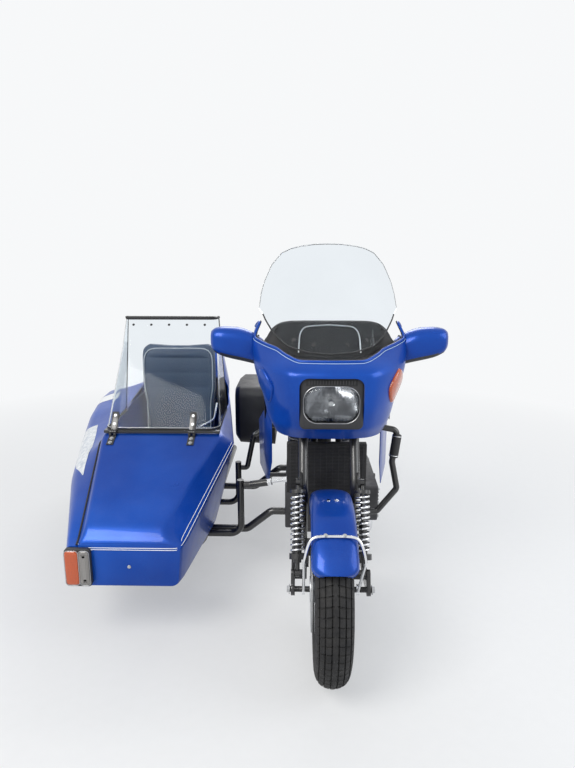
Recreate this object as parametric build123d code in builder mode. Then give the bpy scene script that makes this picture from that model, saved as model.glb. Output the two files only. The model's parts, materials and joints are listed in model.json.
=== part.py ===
from build123d import *
from math import atan2, cos, degrees, hypot, radians, sin, tan
import os

# Touring motorcycle with a one-seat sidecar on its right, in millimetres.
# Places are given from the bike: x to its left of the centre plane, y behind the front axle, z above
# the ground. The part's own frame has its origin below the middle of the whole outfit.

# Overall extents from the bike's centre plane and the front axle
MIRROR_TIP = 462.0
PONTOON_REACH = 1307.0
TAIL_END = 1990.0
FRONT_TYRE_RADIUS = 315.0
BIKE_X = (PONTOON_REACH - MIRROR_TIP) / 2
FRONT_Y = (FRONT_TYRE_RADIUS - TAIL_END) / 2

# Clearances
SEAT_GAP = 0.3
RUNNING_GAP = 6.0

# Wheels
WHEELBASE = 1516.0
FRONT_TYRE_WIDTH = 125.0
REAR_TYRE_RADIUS = 318.0
REAR_TYRE_WIDTH = 135.0
SIDECAR_TYRE_RADIUS = 300.0
SIDECAR_TYRE_WIDTH = 125.0
SIDECAR_WHEEL_X = -1190.0
SIDECAR_WHEEL_Y = 1350.0
BEAD_RADIUS = 192.0
RIM_WALL = 9.0
RIM_FLANGE = 12.0
HUB_RADIUS = 44.0
HUB_LENGTH = 148.0
AXLE_RADIUS = 10.0
SPOKE_COUNT = 7
SPOKE_WIDTH = 34.0
SPOKE_THICKNESS = 26.0
DISC_RADIUS = 142.0
DISC_THICKNESS = 5.0
DISC_X = 68.5

# Steering
RAKE = 27.0
STEER_FOOT_Y = -60.0
LOWER_YOKE_Z = 790.0
UPPER_YOKE_Z = 968.0
YOKE_THICKNESS = 30.0
FORK_HALF = 98.0
FORK_AHEAD = 45.0
FORK_TUBE = 38.0
FORK_KNEE_Z = 600.0
FORK_TOP_Z = 992.0
PIVOT_Y = 360.0
PIVOT_Z = 300.0
LINK_X = 134.0
LINK_THICKNESS = 14.0
LINK_DEPTH = 34.0
SHOCK_X = 118.0
SHOCK_EYE = 15.0
SHOCK_FOOT = (20.0, 366.0)
SHOCK_HEAD = (155.0, 657.0)
SPRING_WIRE = 8.0
SPRING_RADIUS = 23.0
SPRING_TURNS = 11
SPRING_START = 68.0
SPRING_LENGTH = 212.0
MUDGUARD_GAP = 30.0
MUDGUARD_WALL = 4.0
MUDGUARD_WIDTH = 145.0
MUDGUARD_FRONT = 38.0
MUDGUARD_BACK = 150.0
STAY_ANGLE = 58.0
STAY_TUBE = 10.0
STAY_X = 96.0

# Bike body
PANEL_WALL = 4.0
LAMP_HALF_WIDTH = 114.0
LAMP_BOTTOM = 865.0
LAMP_TOP = 1055.0
LAMP_GLASS_HALF = 97.0
LAMP_GLASS_HEIGHT = 130.0
SCREEN_WALL = 4.0
SCREEN_CURVE = 340.0
SCREEN_RAKE = 39.0
SCREEN_FOOT_Y = 231.0
SCREEN_FOOT_Z = 1128.0

# Sidecar
FLOOR_Z = 265.0
TUB_WALL = 6.0
CHASSIS_TUBE = 45.0
CHASSIS_Z = FLOOR_Z - SEAT_GAP - CHASSIS_TUBE / 2
SILL_Z = 712.0
HINGE_Y = 583.0
HINGE_Z = 712.0
HINGE_PLACES = (-937.0, -587.0)
HINGE_WIDTH = 30.0
KNUCKLE_RADIUS = 7.0
PIN_RADIUS = 3.0


def at(x, y, z):
    """The point x left of the bike's centre plane, y behind its front axle and z above the ground."""
    return (BIKE_X + x, FRONT_Y + y, z)


def across(y, x=0, z=0):
    """The upright plane across the bike at y. Its own x runs to the left and its y upwards."""
    return Plane(origin=at(x, y, z), x_dir=(1, 0, 0), z_dir=(0, -1, 0))


def beside(x, y=0, z=0):
    """The upright plane along the bike at x. Its own x runs to the rear and its y upwards."""
    return Plane(origin=at(x, y, z), x_dir=(0, 1, 0), z_dir=(1, 0, 0))


def level(z, x=0, y=0):
    """The level plane at height z. Its own x runs to the left and its y to the rear."""
    return Plane(origin=at(x, y, z), x_dir=(1, 0, 0), z_dir=(0, 0, 1))


def steer_y(z):
    """How far behind the front axle the steering axis is at height z."""
    return STEER_FOOT_Y + z * tan(radians(RAKE))


def yoke_plane(z):
    """The plane square to the steering axis at height z. Its own y runs to the rear."""
    return Plane(origin=at(0, steer_y(z), z), x_dir=(1, 0, 0), z_dir=(0, sin(radians(RAKE)), cos(radians(RAKE))))


def fork_y(z):
    """Where a fork tube's straight upper run is at height z."""
    return steer_y(z) - FORK_AHEAD / cos(radians(RAKE))


def add_tube(points, diameter, bend):
    """Adds a tube along straight runs that arcs of radius bend join."""
    with BuildLine() as route:
        if len(points) == 2:
            Line(*points)
        else:
            FilletPolyline(*points, radius=bend)
    with BuildSketch(Plane(origin=route.line @ 0, z_dir=route.line % 0)) as section:
        Circle(diameter / 2)
    sweep(section.sketch, path=route.line)


def add_bar(x_low, x_high, y, z, radius, mode=Mode.ADD):
    """Adds a round bar that lies across the bike, from x_low to x_high."""
    with BuildSketch(beside(x_low, y, z)) as section:
        Circle(radius)
    extrude(section.sketch, amount=x_high - x_low, mode=mode)


def add_block(x_low, x_high, y_low, y_high, z_low, z_high, mode=Mode.ADD):
    """Adds a plain block between the given places."""
    with BuildSketch(level(z_low, (x_low + x_high) / 2, (y_low + y_high) / 2)) as section:
        Rectangle(x_high - x_low, y_high - y_low)
    extrude(section.sketch, amount=z_high - z_low, mode=mode)


os.makedirs("parts", exist_ok=True)

# Tyres and cast wheels, each about its own axle
# Columns: name, x, y, z, tyre radius, tyre width
WHEELS = [
    ("front", 0, 0, FRONT_TYRE_RADIUS, FRONT_TYRE_RADIUS, FRONT_TYRE_WIDTH),
    ("rear", 0, WHEELBASE, REAR_TYRE_RADIUS, REAR_TYRE_RADIUS, REAR_TYRE_WIDTH),
    ("sidecar", SIDECAR_WHEEL_X, SIDECAR_WHEEL_Y, SIDECAR_TYRE_RADIUS, SIDECAR_TYRE_RADIUS, SIDECAR_TYRE_WIDTH),
]
for name, x, y, z, tyre_radius, tyre_width in WHEELS:
    bead_half = tyre_width * 0.38
    bead_top = BEAD_RADIUS + RIM_FLANGE
    axle = Axis(at(x, y, z), (1, 0, 0))
    with BuildPart() as tyre:
        with BuildSketch(across(y, x, z)):
            with BuildLine():
                crown = ThreePointArc(
                    (-tyre_width * 0.4, tyre_radius - 12), (0, tyre_radius), (tyre_width * 0.4, tyre_radius - 12)
                )
                bulge_radius = (bead_top + tyre_radius) / 2
                wall = ThreePointArc(crown @ 1, (tyre_width / 2, bulge_radius), (bead_half, bead_top))
                bead = Polyline(
                    wall @ 1, (bead_half, BEAD_RADIUS), (-bead_half, BEAD_RADIUS), (-bead_half, bead_top)
                )
                ThreePointArc(bead @ 1, (-tyre_width / 2, bulge_radius), crown @ 0)
            make_face()
        revolve(axis=axle)
    tyre.part.label = name + "_tyre"
    export_step(tyre.part, "parts/" + name + "_tyre.step")

    with BuildPart() as rim:
        with BuildSketch(across(y, x, z)):
            seat = BEAD_RADIUS - SEAT_GAP
            inside = bead_half + SEAT_GAP
            outside = inside + RIM_WALL - 3
            with BuildLine():
                Polyline(
                    (-outside, seat + RIM_FLANGE), (-inside, seat + RIM_FLANGE), (-inside, seat), (inside, seat),
                    (inside, seat + RIM_FLANGE), (outside, seat + RIM_FLANGE), (outside, seat - RIM_WALL),
                    (-outside, seat - RIM_WALL), close=True,
                )
            make_face()
        revolve(axis=axle)
        with BuildSketch(beside(x, y, z)):
            with PolarLocations((HUB_RADIUS + seat - RIM_WALL) / 2, SPOKE_COUNT, start_angle=90):
                Rectangle(seat - RIM_WALL / 2 - HUB_RADIUS + 12, SPOKE_WIDTH)
        extrude(amount=SPOKE_THICKNESS / 2, both=True)
        add_bar(x - HUB_LENGTH / 2, x + HUB_LENGTH / 2, y, z, HUB_RADIUS)
        add_bar(x - HUB_LENGTH / 2, x + HUB_LENGTH / 2, y, z, AXLE_RADIUS + SEAT_GAP, Mode.SUBTRACT)
    rim.part.label = name + "_rim"
    export_step(rim.part, "parts/" + name + "_rim.step")

with BuildPart() as front_discs:
    for side in (-1, 1):
        low = side * DISC_X - DISC_THICKNESS / 2
        add_bar(low, low + DISC_THICKNESS, 0, FRONT_TYRE_RADIUS, DISC_RADIUS)
        add_bar(low, low + DISC_THICKNESS, 0, FRONT_TYRE_RADIUS, HUB_RADIUS + SEAT_GAP, Mode.SUBTRACT)
front_discs.part.label = "front_discs"
export_step(front_discs.part, "parts/front_discs.step")

# Steered fork: two yokes, two bent legs and the pivot tube behind the wheel
with BuildPart() as fork:
    for yoke_z in (LOWER_YOKE_Z, UPPER_YOKE_Z):
        with BuildSketch(yoke_plane(yoke_z)):
            with Locations((-FORK_HALF, -FORK_AHEAD), (FORK_HALF, -FORK_AHEAD)):
                Circle(FORK_TUBE / 2 + 12)
            Circle(38)
            make_hull()
        extrude(amount=YOKE_THICKNESS / 2, both=True)
    knee_y = fork_y(FORK_KNEE_Z)
    for side in (-1, 1):
        leg_x = side * FORK_HALF
        add_tube(
            [at(leg_x, fork_y(FORK_TOP_Z), FORK_TOP_Z), at(leg_x, knee_y, FORK_KNEE_Z), at(leg_x, PIVOT_Y, PIVOT_Z)],
            FORK_TUBE, 90,
        )
        add_block(
            side * (SHOCK_X - SHOCK_EYE / 2 - SEAT_GAP) - (8 if side > 0 else 0),
            side * (SHOCK_X - SHOCK_EYE / 2 - SEAT_GAP) + (0 if side > 0 else 8),
            SHOCK_HEAD[0] - 14, fork_y(SHOCK_HEAD[1]) + 5, SHOCK_HEAD[1] - 16, SHOCK_HEAD[1] + 16,
        )
    pivot_half = LINK_X - LINK_THICKNESS / 2 - SEAT_GAP
    add_bar(-pivot_half, pivot_half, PIVOT_Y, PIVOT_Z, 21)
fork.part.label = "fork"
export_step(fork.part, "parts/fork.step")

# Leading links with the axle through them
with BuildPart() as link_arms:
    for side in (-1, 1):
        low = side * LINK_X - LINK_THICKNESS / 2
        with BuildSketch(beside(low)):
            with Locations((0, FRONT_TYRE_RADIUS), (PIVOT_Y, PIVOT_Z)):
                Circle(LINK_DEPTH / 2 + 5)
            make_hull()
            with Locations(SHOCK_FOOT, (0, FRONT_TYRE_RADIUS)):
                Circle(LINK_DEPTH / 2 - 2)
        extrude(amount=LINK_THICKNESS)
        with BuildSketch(beside(low)):
            with BuildLine():
                Polyline(
                    (-17, FRONT_TYRE_RADIUS), (SHOCK_FOOT[0] - 14, SHOCK_FOOT[1]), (SHOCK_FOOT[0] + 14, SHOCK_FOOT[1]),
                    (SHOCK_FOOT[0] + 40, FRONT_TYRE_RADIUS), close=True,
                )
            make_face()
        extrude(amount=LINK_THICKNESS)
    axle_half = LINK_X + LINK_THICKNESS / 2 + 10
    add_bar(-axle_half, axle_half, 0, FRONT_TYRE_RADIUS, AXLE_RADIUS)
link_arms.part.label = "link_arms"
export_step(link_arms.part, "parts/link_arms.step")

# Dampers and chrome coil springs between the links and the fork
shock_run = hypot(SHOCK_HEAD[0] - SHOCK_FOOT[0], SHOCK_HEAD[1] - SHOCK_FOOT[1])
shock_dir = (0, (SHOCK_HEAD[0] - SHOCK_FOOT[0]) / shock_run, (SHOCK_HEAD[1] - SHOCK_FOOT[1]) / shock_run)


def along_shock(side, distance):
    """The plane square to a front shock, at a distance up from its lower eye."""
    origin = at(side * SHOCK_X, SHOCK_FOOT[0] + shock_dir[1] * distance, SHOCK_FOOT[1] + shock_dir[2] * distance)
    return Plane(origin=origin, x_dir=(1, 0, 0), z_dir=shock_dir)


# Columns: start above the lower eye, length, radius
SHOCK_STEPS = [
    (8, 32, 8),
    (36, 20, 14),
    (SPRING_START - SEAT_GAP - 20, 20, 30),
    (50, 130, 15),
    (150, shock_run - 162, 7),
    (SPRING_START + SPRING_LENGTH + SEAT_GAP, 12, 29),
]
with BuildPart() as fork_shocks:
    for side in (-1, 1):
        for start, length, radius in SHOCK_STEPS:
            with BuildSketch(along_shock(side, start)):
                Circle(radius)
            extrude(amount=length)
        for eye_y, eye_z in (SHOCK_FOOT, SHOCK_HEAD):
            add_bar(side * SHOCK_X - SHOCK_EYE / 2, side * SHOCK_X + SHOCK_EYE / 2, eye_y, eye_z, 13)
fork_shocks.part.label = "fork_shocks"
export_step(fork_shocks.part, "parts/fork_shocks.step")

with BuildPart() as fork_springs:
    for side in (-1, 1):
        foot = along_shock(side, SPRING_START + SPRING_WIRE / 2)
        coil_height = SPRING_LENGTH - SPRING_WIRE
        with BuildLine() as coil:
            Helix(
                pitch=coil_height / SPRING_TURNS, height=coil_height, radius=SPRING_RADIUS,
                center=foot.origin, direction=foot.z_dir,
            )
        with BuildSketch(Plane(origin=coil.line @ 0, z_dir=coil.line % 0)):
            Circle(SPRING_WIRE / 2)
        sweep(is_frenet=True)
fork_springs.part.label = "fork_springs"
export_step(fork_springs.part, "parts/fork_springs.step")

# Front mudguard, an arc about the axle with bevelled edges, and its chrome stay
guard_inner = FRONT_TYRE_RADIUS + MUDGUARD_GAP
guard_outer = guard_inner + MUDGUARD_WALL


def wheel_plane(angle):
    """The plane through the front axle at an angle above straight ahead. Its own y runs outwards."""
    return Plane(
        origin=at(0, 0, FRONT_TYRE_RADIUS), x_dir=(1, 0, 0), z_dir=(0, -sin(radians(angle)), -cos(radians(angle)))
    )


with BuildPart() as front_mudguard:
    half = MUDGUARD_WIDTH / 2
    with BuildSketch(wheel_plane(MUDGUARD_FRONT)):
        with BuildLine():
            Polyline(
                (-half, guard_inner - 30), (-half, guard_inner - 12), (-half + 22, guard_outer),
                (half - 22, guard_outer), (half, guard_inner - 12), (half, guard_inner - 30),
                (half - MUDGUARD_WALL, guard_inner - 30), (half - MUDGUARD_WALL, guard_inner - 14),
                (half - 24, guard_inner), (-half + 24, guard_inner), (-half + MUDGUARD_WALL, guard_inner - 14),
                (-half + MUDGUARD_WALL, guard_inner - 30), close=True,
            )
        make_face()
    revolve(axis=Axis(at(0, 0, FRONT_TYRE_RADIUS), (-1, 0, 0)), revolution_arc=MUDGUARD_BACK - MUDGUARD_FRONT)
front_mudguard.part.label = "front_mudguard"
export_step(front_mudguard.part, "parts/front_mudguard.step")

with BuildPart() as mudguard_stay:
    hoop_radius = guard_outer + SEAT_GAP + STAY_TUBE / 2
    hoop_y = -hoop_radius * cos(radians(STAY_ANGLE))
    hoop_z = FRONT_TYRE_RADIUS + hoop_radius * sin(radians(STAY_ANGLE))
    add_tube(
        [
            at(-STAY_X, -AXLE_RADIUS - 3, FRONT_TYRE_RADIUS), at(-STAY_X, hoop_y - 20, hoop_z - 60),
            at(-STAY_X + 20, hoop_y, hoop_z), at(STAY_X - 20, hoop_y, hoop_z),
            at(STAY_X, hoop_y - 20, hoop_z - 60), at(STAY_X, -AXLE_RADIUS - 3, FRONT_TYRE_RADIUS),
        ],
        STAY_TUBE, 18,
    )
    for side in (-1, 1):
        low = side * STAY_X - STAY_TUBE / 2
        add_bar(low, low + STAY_TUBE, 0, FRONT_TYRE_RADIUS, AXLE_RADIUS + 9)
        add_bar(low, low + STAY_TUBE, 0, FRONT_TYRE_RADIUS, AXLE_RADIUS + SEAT_GAP, Mode.SUBTRACT)
mudguard_stay.part.label = "mudguard_stay"
export_step(mudguard_stay.part, "parts/mudguard_stay.step")

# Brake calipers, open over the discs and hung on the links
CALIPER_OUTER = 176.0
CALIPER_INNER = 96.0
CALIPER_LOW_X = 54.5
CALIPER_HIGH_X = 92.0
with BuildPart() as calipers:
    for side in (-1, 1):
        low, high = sorted((side * CALIPER_LOW_X, side * CALIPER_HIGH_X))
        with BuildSketch(beside(low, 0, FRONT_TYRE_RADIUS)):
            Circle(CALIPER_OUTER)
            Circle(CALIPER_INNER, mode=Mode.SUBTRACT)
            with BuildLine():
                Polyline((0, 0), (240, 90), (160, 250), close=True)
            make_face(mode=Mode.INTERSECT)
        extrude(amount=high - low)
        slot_low = side * DISC_X - DISC_THICKNESS / 2 - RUNNING_GAP
        add_bar(
            slot_low, slot_low + DISC_THICKNESS + 2 * RUNNING_GAP, 0, FRONT_TYRE_RADIUS, DISC_RADIUS + RUNNING_GAP,
            Mode.SUBTRACT,
        )
        low, high = sorted((side * (CALIPER_HIGH_X - 8), side * (LINK_X - LINK_THICKNESS / 2 - SEAT_GAP)))
        add_block(low, high, 85, 120, FRONT_TYRE_RADIUS - 12, FRONT_TYRE_RADIUS + 8)
        low, high = sorted((side * (CALIPER_HIGH_X - 8), side * CALIPER_HIGH_X))
        add_block(low, high, 85, 120, FRONT_TYRE_RADIUS - 12, FRONT_TYRE_RADIUS + 60)
calipers.part.label = "calipers"
export_step(calipers.part, "parts/calipers.step")

# Handlebar on two risers above the upper yoke
BAR_TUBE = 22.0
BAR_Z = 1075.0
GRIP_OUTER = (365.0, 760.0, 1062.0)
GRIP_INNER = (245.0, 715.0, 1076.0)
with BuildPart() as handlebar:
    for side in (-1, 1):
        add_tube([at(side * GRIP_INNER[0], GRIP_INNER[1], GRIP_INNER[2]), at(side * GRIP_OUTER[0], *GRIP_OUTER[1:])], 34, 0)
    add_tube(
        [
            at(-GRIP_INNER[0] - 2, GRIP_INNER[1] + 1, GRIP_INNER[2]), at(-190, 640, BAR_Z + 12), at(-90, 510, BAR_Z),
            at(90, 510, BAR_Z), at(190, 640, BAR_Z + 12), at(GRIP_INNER[0] + 2, GRIP_INNER[1] + 1, GRIP_INNER[2]),
        ],
        BAR_TUBE, 45,
    )
    for side in (-1, 1):
        foot = yoke_plane(UPPER_YOKE_Z).offset(YOKE_THICKNESS / 2 + SEAT_GAP).origin + Vector(side * 32, 0, 0)
        knee = foot + yoke_plane(UPPER_YOKE_Z).z_dir * 26
        add_tube([foot, knee, at(side * 32, 510, BAR_Z)], 28, 30)
handlebar.part.label = "handlebar"
export_step(handlebar.part, "parts/handlebar.step")

# Frame: head tube, spine, engine rails and seat rails
with BuildPart() as frame:
    with BuildSketch(yoke_plane(LOWER_YOKE_Z).offset(YOKE_THICKNESS / 2 + SEAT_GAP)):
        Circle(30)
    extrude(amount=(UPPER_YOKE_Z - LOWER_YOKE_Z) / cos(radians(RAKE)) - YOKE_THICKNESS - 2 * SEAT_GAP)
    for side in (-1, 1):
        add_tube(
            [at(side * 12, 395, 880), at(side * 60, 520, 700), at(side * 150, 700, 662), at(side * 150, 1180, 640)], 32, 60
        )
        add_tube([at(side * 10, 390, 850), at(side * 50, 478, 760), at(side * 60, 520, 515)], 28, 40)
        add_tube([at(side * 150, 1000, 648), at(side * 140, 1300, 686), at(side * 120, 1820, 705)], 24, 200)
        add_tube([at(side * 150, 1160, 640), at(side * 150, 1135, 420)], 30, 0)
        low, high = sorted((side * 110.3, side * 150))
        add_bar(low, high, 1136, 440, 15)
        if side < 0:
            for y in (1600, 1800):
                add_tube([at(-122, y, 700), at(-200, y, 640), at(-259.7, y, 640)], 16, 30)
    for y, z, half in ((720, 661, 150), (1180, 640, 150), (1530, 692.3, 131), (1700, 701, 124)):
        add_bar(-half, half, y, z, 12)
frame.part.label = "frame"
export_step(frame.part, "parts/frame.step")

# Engine: a flat four lying on its side, with its ribbed head cover to the left, and the gearbox
with BuildPart() as engine:
    add_block(-175, 175, 520, 980, 290, 500)
    add_block(175, 235, 540, 960, 320, 480)
    add_block(-110, 110, 980, 1150, 290, 490)
    add_block(-150, 150, 560, 940, 250, 290)
engine.part.label = "engine"
export_step(engine.part, "parts/engine.step")

with BuildPart() as radiator:
    add_block(-165, 165, 422, 456, 500, 715)
    for side in (-1, 1):
        low, high = sorted((side * 45, side * 61))
        add_block(low, high, 456, 473.7, 680, 700)
radiator.part.label = "radiator"
export_step(radiator.part, "parts/radiator.step")

with BuildPart() as exhaust:
    add_tube([at(205, 640, 319.7), at(205, 640, 215), at(205, 1000, 215), at(200, 1125, 300)], 45, 60)
    with BuildSketch(across(1900, 205, 345)):
        RectangleRounded(110, 150, 40)
    with BuildSketch(across(1120, 200, 300)):
        RectangleRounded(90, 90, 30)
    loft()
exhaust.part.label = "exhaust"
export_step(exhaust.part, "parts/exhaust.step")

# One-sided swing arm with the final drive and the rear axle
with BuildPart() as swing_arm:
    add_block(-150, -90, 1150.3, 1460, 285, 365)
    add_bar(-175, -78, WHEELBASE, REAR_TYRE_RADIUS, 95)
    add_bar(-90, 90, WHEELBASE, REAR_TYRE_RADIUS, AXLE_RADIUS)
swing_arm.part.label = "swing_arm"
export_step(swing_arm.part, "parts/swing_arm.step")

with BuildPart() as rear_shock:
    add_bar(-150, -120, 1385, 383.3, 18)
    add_tube([at(-135, 1385, 383.3), at(-174, 1330, 690)], 42, 0)
    add_bar(-190, -152, 1330, 691, 14)
rear_shock.part.label = "rear_shock"
export_step(rear_shock.part, "parts/rear_shock.step")

# Tank, seat, side panels and tail
with BuildPart() as fuel_tank:
    for y, half, low, high in ((565, 110, 880, 930), (650, 185, 690, 975), (820, 190, 680, 960), (960, 150, 680, 850)):
        with BuildSketch(across(y, 0, (low + high) / 2)):
            RectangleRounded(2 * half, high - low, 22)
    loft(ruled=True)
fuel_tank.part.label = "fuel_tank"
export_step(fuel_tank.part, "parts/fuel_tank.step")

with BuildPart() as seat:
    with BuildSketch(beside(-150)):
        with BuildLine():
            Polyline((960.3, 735), (966, 830), (1080, 800), (1290, 800), (1340, 845), (1640, 855), (1660, 770), (1400, 735), close=True)
        make_face()
    extrude(amount=300)
seat.part.label = "seat"
export_step(seat.part, "parts/seat.step")

with BuildPart() as side_panels:
    for side in (-1, 1):
        low, high = sorted((side * 166.5, side * 172))
        with BuildSketch(beside(low)):
            with BuildLine():
                Polyline((1000, 520), (960, 676), (1290, 712), (1240, 560), close=True)
            make_face()
        extrude(amount=high - low)
side_panels.part.label = "side_panels"
export_step(side_panels.part, "parts/side_panels.step")

with BuildPart() as tail:
    for y, half, low, high in ((1400, 170, 717.5, 750), (1664, 160, 717.5, 850), (1880, 130, 717.5, 850)):
        with BuildSketch(across(y, 0, (low + high) / 2)):
            RectangleRounded(2 * half, high - low, 14)
    loft(ruled=True)
    add_block(-151, 151, 1300, 1660.3, 710, 900, Mode.SUBTRACT)
tail.part.label = "tail"
export_step(tail.part, "parts/tail.step")

with BuildPart() as rear_mudguard:
    with BuildSketch(across(WHEELBASE, 0, REAR_TYRE_RADIUS)) as section:
        with Locations((0, REAR_TYRE_RADIUS + 42)):
            Rectangle(170, 4)
    revolve(section.sketch, axis=Axis(at(0, WHEELBASE, REAR_TYRE_RADIUS), (-1, 0, 0)), revolution_arc=75)
rear_mudguard.part.label = "rear_mudguard"
export_step(rear_mudguard.part, "parts/rear_mudguard.step")

with BuildPart() as rear_lamp:
    add_block(-95, 95, 1880.3, 1925, 760, 830)
rear_lamp.part.label = "rear_lamp"
export_step(rear_lamp.part, "parts/rear_lamp.step")

# The rack's plate takes a case on four bolts
RACK_PLATE_Z = 884.0
RACK_HOLE_Y = 1750.0
RACK_HOLES_X = 120.0
RACK_HOLES_Y = 150.0
RACK_HOLE_RADIUS = 4.2
with BuildPart() as rack:
    add_tube([at(-125, 1600, 868), at(-125, 1930, 880), at(125, 1930, 880), at(125, 1600, 868)], 18, 40)
    for y in (1700, 1800):
        add_bar(-125, 125, y, 873, 8)
    for side in (-1, 1):
        add_tube([at(side * 125, 1720, 871), at(side * 125, 1720, 850.3)], 14, 0)
    add_block(-85, 85, RACK_HOLE_Y - 90, RACK_HOLE_Y + 90, RACK_PLATE_Z - 6, RACK_PLATE_Z)
    with BuildSketch(level(RACK_PLATE_Z, 0, RACK_HOLE_Y)) as holes:
        with GridLocations(RACK_HOLES_X, RACK_HOLES_Y, 2, 2):
            Circle(RACK_HOLE_RADIUS)
    extrude(holes.sketch, amount=-10, mode=Mode.SUBTRACT)
rack.part.label = "rack"
export_step(rack.part, "parts/rack.step")

# Black pannier on the right only
with BuildPart() as pannier:
    for x, y_mid, z_mid, length, height in ((-500, 1700, 540, 380, 300), (-470, 1700, 535, 460, 350), (-260, 1700, 530, 470, 360)):
        with BuildSketch(beside(x, y_mid, z_mid)):
            RectangleRounded(length, height, 60)
    loft(ruled=True)
pannier.part.label = "pannier"
export_step(pannier.part, "parts/pannier.step")

# Fairing: a lofted shell, open behind, below and above, cut for the headlamp
# Columns: height, front y, front half width, side y, side half width, rear y, rear half width
FAIRING_SECTIONS = [
    (820, 172, 100, 330, 190, 640, 262),
    (880, 142, 115, 320, 215, 640, 272),
    (950, 118, 128, 310, 245, 620, 285),
    (1060, 122, 140, 320, 290, 520, 303),
    (1140, 245, 135, 360, 295, 500, 305),
    (1250, 430, 120, 450, 250, 500, 272),
]


def fairing_outline(section, inset):
    """Draws one level section of the fairing, moved inwards by inset but open at the rear."""
    height, front_y, front_half, side_y, side_half, rear_y, rear_half = section
    past = 3 if inset else 0
    with BuildSketch(level(height)) as outline:
        with BuildLine():
            Polyline(
                (-front_half + inset * 0.6, front_y + inset), (front_half - inset * 0.6, front_y + inset),
                (side_half - inset, side_y + inset * 0.4), (rear_half - inset, rear_y + past),
                (-rear_half + inset, rear_y + past), (-side_half + inset, side_y + inset * 0.4), close=True,
            )
        make_face()
    return outline.sketch


with BuildPart() as fairing:
    loft([fairing_outline(section, 0) for section in FAIRING_SECTIONS], ruled=True)
    loft([fairing_outline(section, PANEL_WALL) for section in FAIRING_SECTIONS], ruled=True, mode=Mode.SUBTRACT)
    add_block(-LAMP_HALF_WIDTH, LAMP_HALF_WIDTH, 60, 260, LAMP_BOTTOM, LAMP_TOP, Mode.SUBTRACT)
    with BuildSketch(beside(-400)):
        with BuildLine():
            Polyline((100, 1128), (235, 1128), (385, 1166), (432, 1220), (462, 1222), (530, 1150), (700, 1150), (700, 1300), (100, 1300), close=True)
        make_face()
    extrude(amount=800, mode=Mode.SUBTRACT)
fairing.part.label = "fairing"
export_step(fairing.part, "parts/fairing.step")

# Lower side panels, in line with the fairing's sides above them
LOWER_FRONT_Y = 520.0
bottom_section = FAIRING_SECTIONS[0]
lower_turn = atan2(bottom_section[6] - bottom_section[4], bottom_section[5] - bottom_section[3])
lower_x = bottom_section[4] + (LOWER_FRONT_Y - bottom_section[3]) * tan(lower_turn)
with BuildPart() as fairing_lowers:
    for side in (-1, 1):
        outward = (side * cos(lower_turn), -sin(lower_turn), 0)
        origin = at(side * (lower_x - PANEL_WALL / cos(lower_turn)), LOWER_FRONT_Y, 0)
        with BuildSketch(Plane(origin=origin, x_dir=(side * sin(lower_turn), cos(lower_turn), 0), z_dir=outward)):
            with BuildLine():
                up = 1 if side < 0 else -1
                Polyline((0, up * -600), (0, up * -819.7), (123, up * -819.7), (335, up * -700), (315, up * -480), (90, up * -470), close=True)
            make_face()
        extrude(amount=PANEL_WALL)
fairing_lowers.part.label = "fairing_lowers"
export_step(fairing_lowers.part, "parts/fairing_lowers.step")

with BuildPart() as dash:
    with BuildSketch(beside(-350)):
        with BuildLine():
            Polyline((235, 1080), (245, 1110), (400, 1160), (425, 1100), (400, 1045), close=True)
        make_face()
    extrude(amount=700)
    room = [fairing_outline(section, PANEL_WALL + SEAT_GAP) for section in FAIRING_SECTIONS]
    add(loft(room, ruled=True, mode=Mode.PRIVATE), mode=Mode.INTERSECT)
dash.part.label = "dash"
export_step(dash.part, "parts/dash.step")

with BuildPart() as headlamp_bezel:
    edge = SEAT_GAP
    add_block(
        -LAMP_HALF_WIDTH + edge, LAMP_HALF_WIDTH - edge, 128, 190, LAMP_BOTTOM + edge, LAMP_TOP - edge
    )
    lamp_mid = (LAMP_BOTTOM + LAMP_TOP) / 2
    add_block(
        -LAMP_GLASS_HALF, LAMP_GLASS_HALF, 100, 180, lamp_mid - LAMP_GLASS_HEIGHT / 2, lamp_mid + LAMP_GLASS_HEIGHT / 2,
        Mode.SUBTRACT,
    )
headlamp_bezel.part.label = "headlamp_bezel"
export_step(headlamp_bezel.part, "parts/headlamp_bezel.step")

with BuildPart() as headlamp:
    add_block(
        -LAMP_GLASS_HALF + edge, LAMP_GLASS_HALF - edge, 132, 179.7,
        lamp_mid - LAMP_GLASS_HEIGHT / 2 + edge, lamp_mid + LAMP_GLASS_HEIGHT / 2 - edge,
    )
headlamp.part.label = "headlamp"
export_step(headlamp.part, "parts/headlamp.step")

# Windscreen: a bent sheet on the rake, cut to its outline as seen from the front
with BuildPart() as windscreen:
    rake_dir = (0, sin(radians(SCREEN_RAKE)), cos(radians(SCREEN_RAKE)))
    with BuildSketch(Plane(origin=at(0, SCREEN_FOOT_Y, SCREEN_FOOT_Z), x_dir=(1, 0, 0), z_dir=rake_dir)) as sheet:
        with Locations((0, SCREEN_CURVE)):
            Circle(SCREEN_CURVE)
            Circle(SCREEN_CURVE - SCREEN_WALL, mode=Mode.SUBTRACT)
        with Locations((0, SCREEN_CURVE * 1.2)):
            Rectangle(3 * SCREEN_CURVE, 2 * SCREEN_CURVE - 180, mode=Mode.SUBTRACT)
    extrude(sheet.sketch, amount=540, both=True)
    with BuildSketch(across(900)) as front_view:
        with BuildLine():
            for side in (-1, 1):
                base = ThreePointArc((0, 1119), (side * 160, 1139), (side * 250, 1220))
                notch = Line(base @ 1, (side * 262, 1240))
                edge_line = Line(notch @ 1, (side * 282, 1262))
                flank = ThreePointArc(edge_line @ 1, (side * 262, 1370), (side * 190, 1485))
                ThreePointArc(flank @ 1, (side * 110, 1512), (0, 1520))
        make_face()
    extrude(front_view.sketch, amount=900, mode=Mode.INTERSECT)
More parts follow.
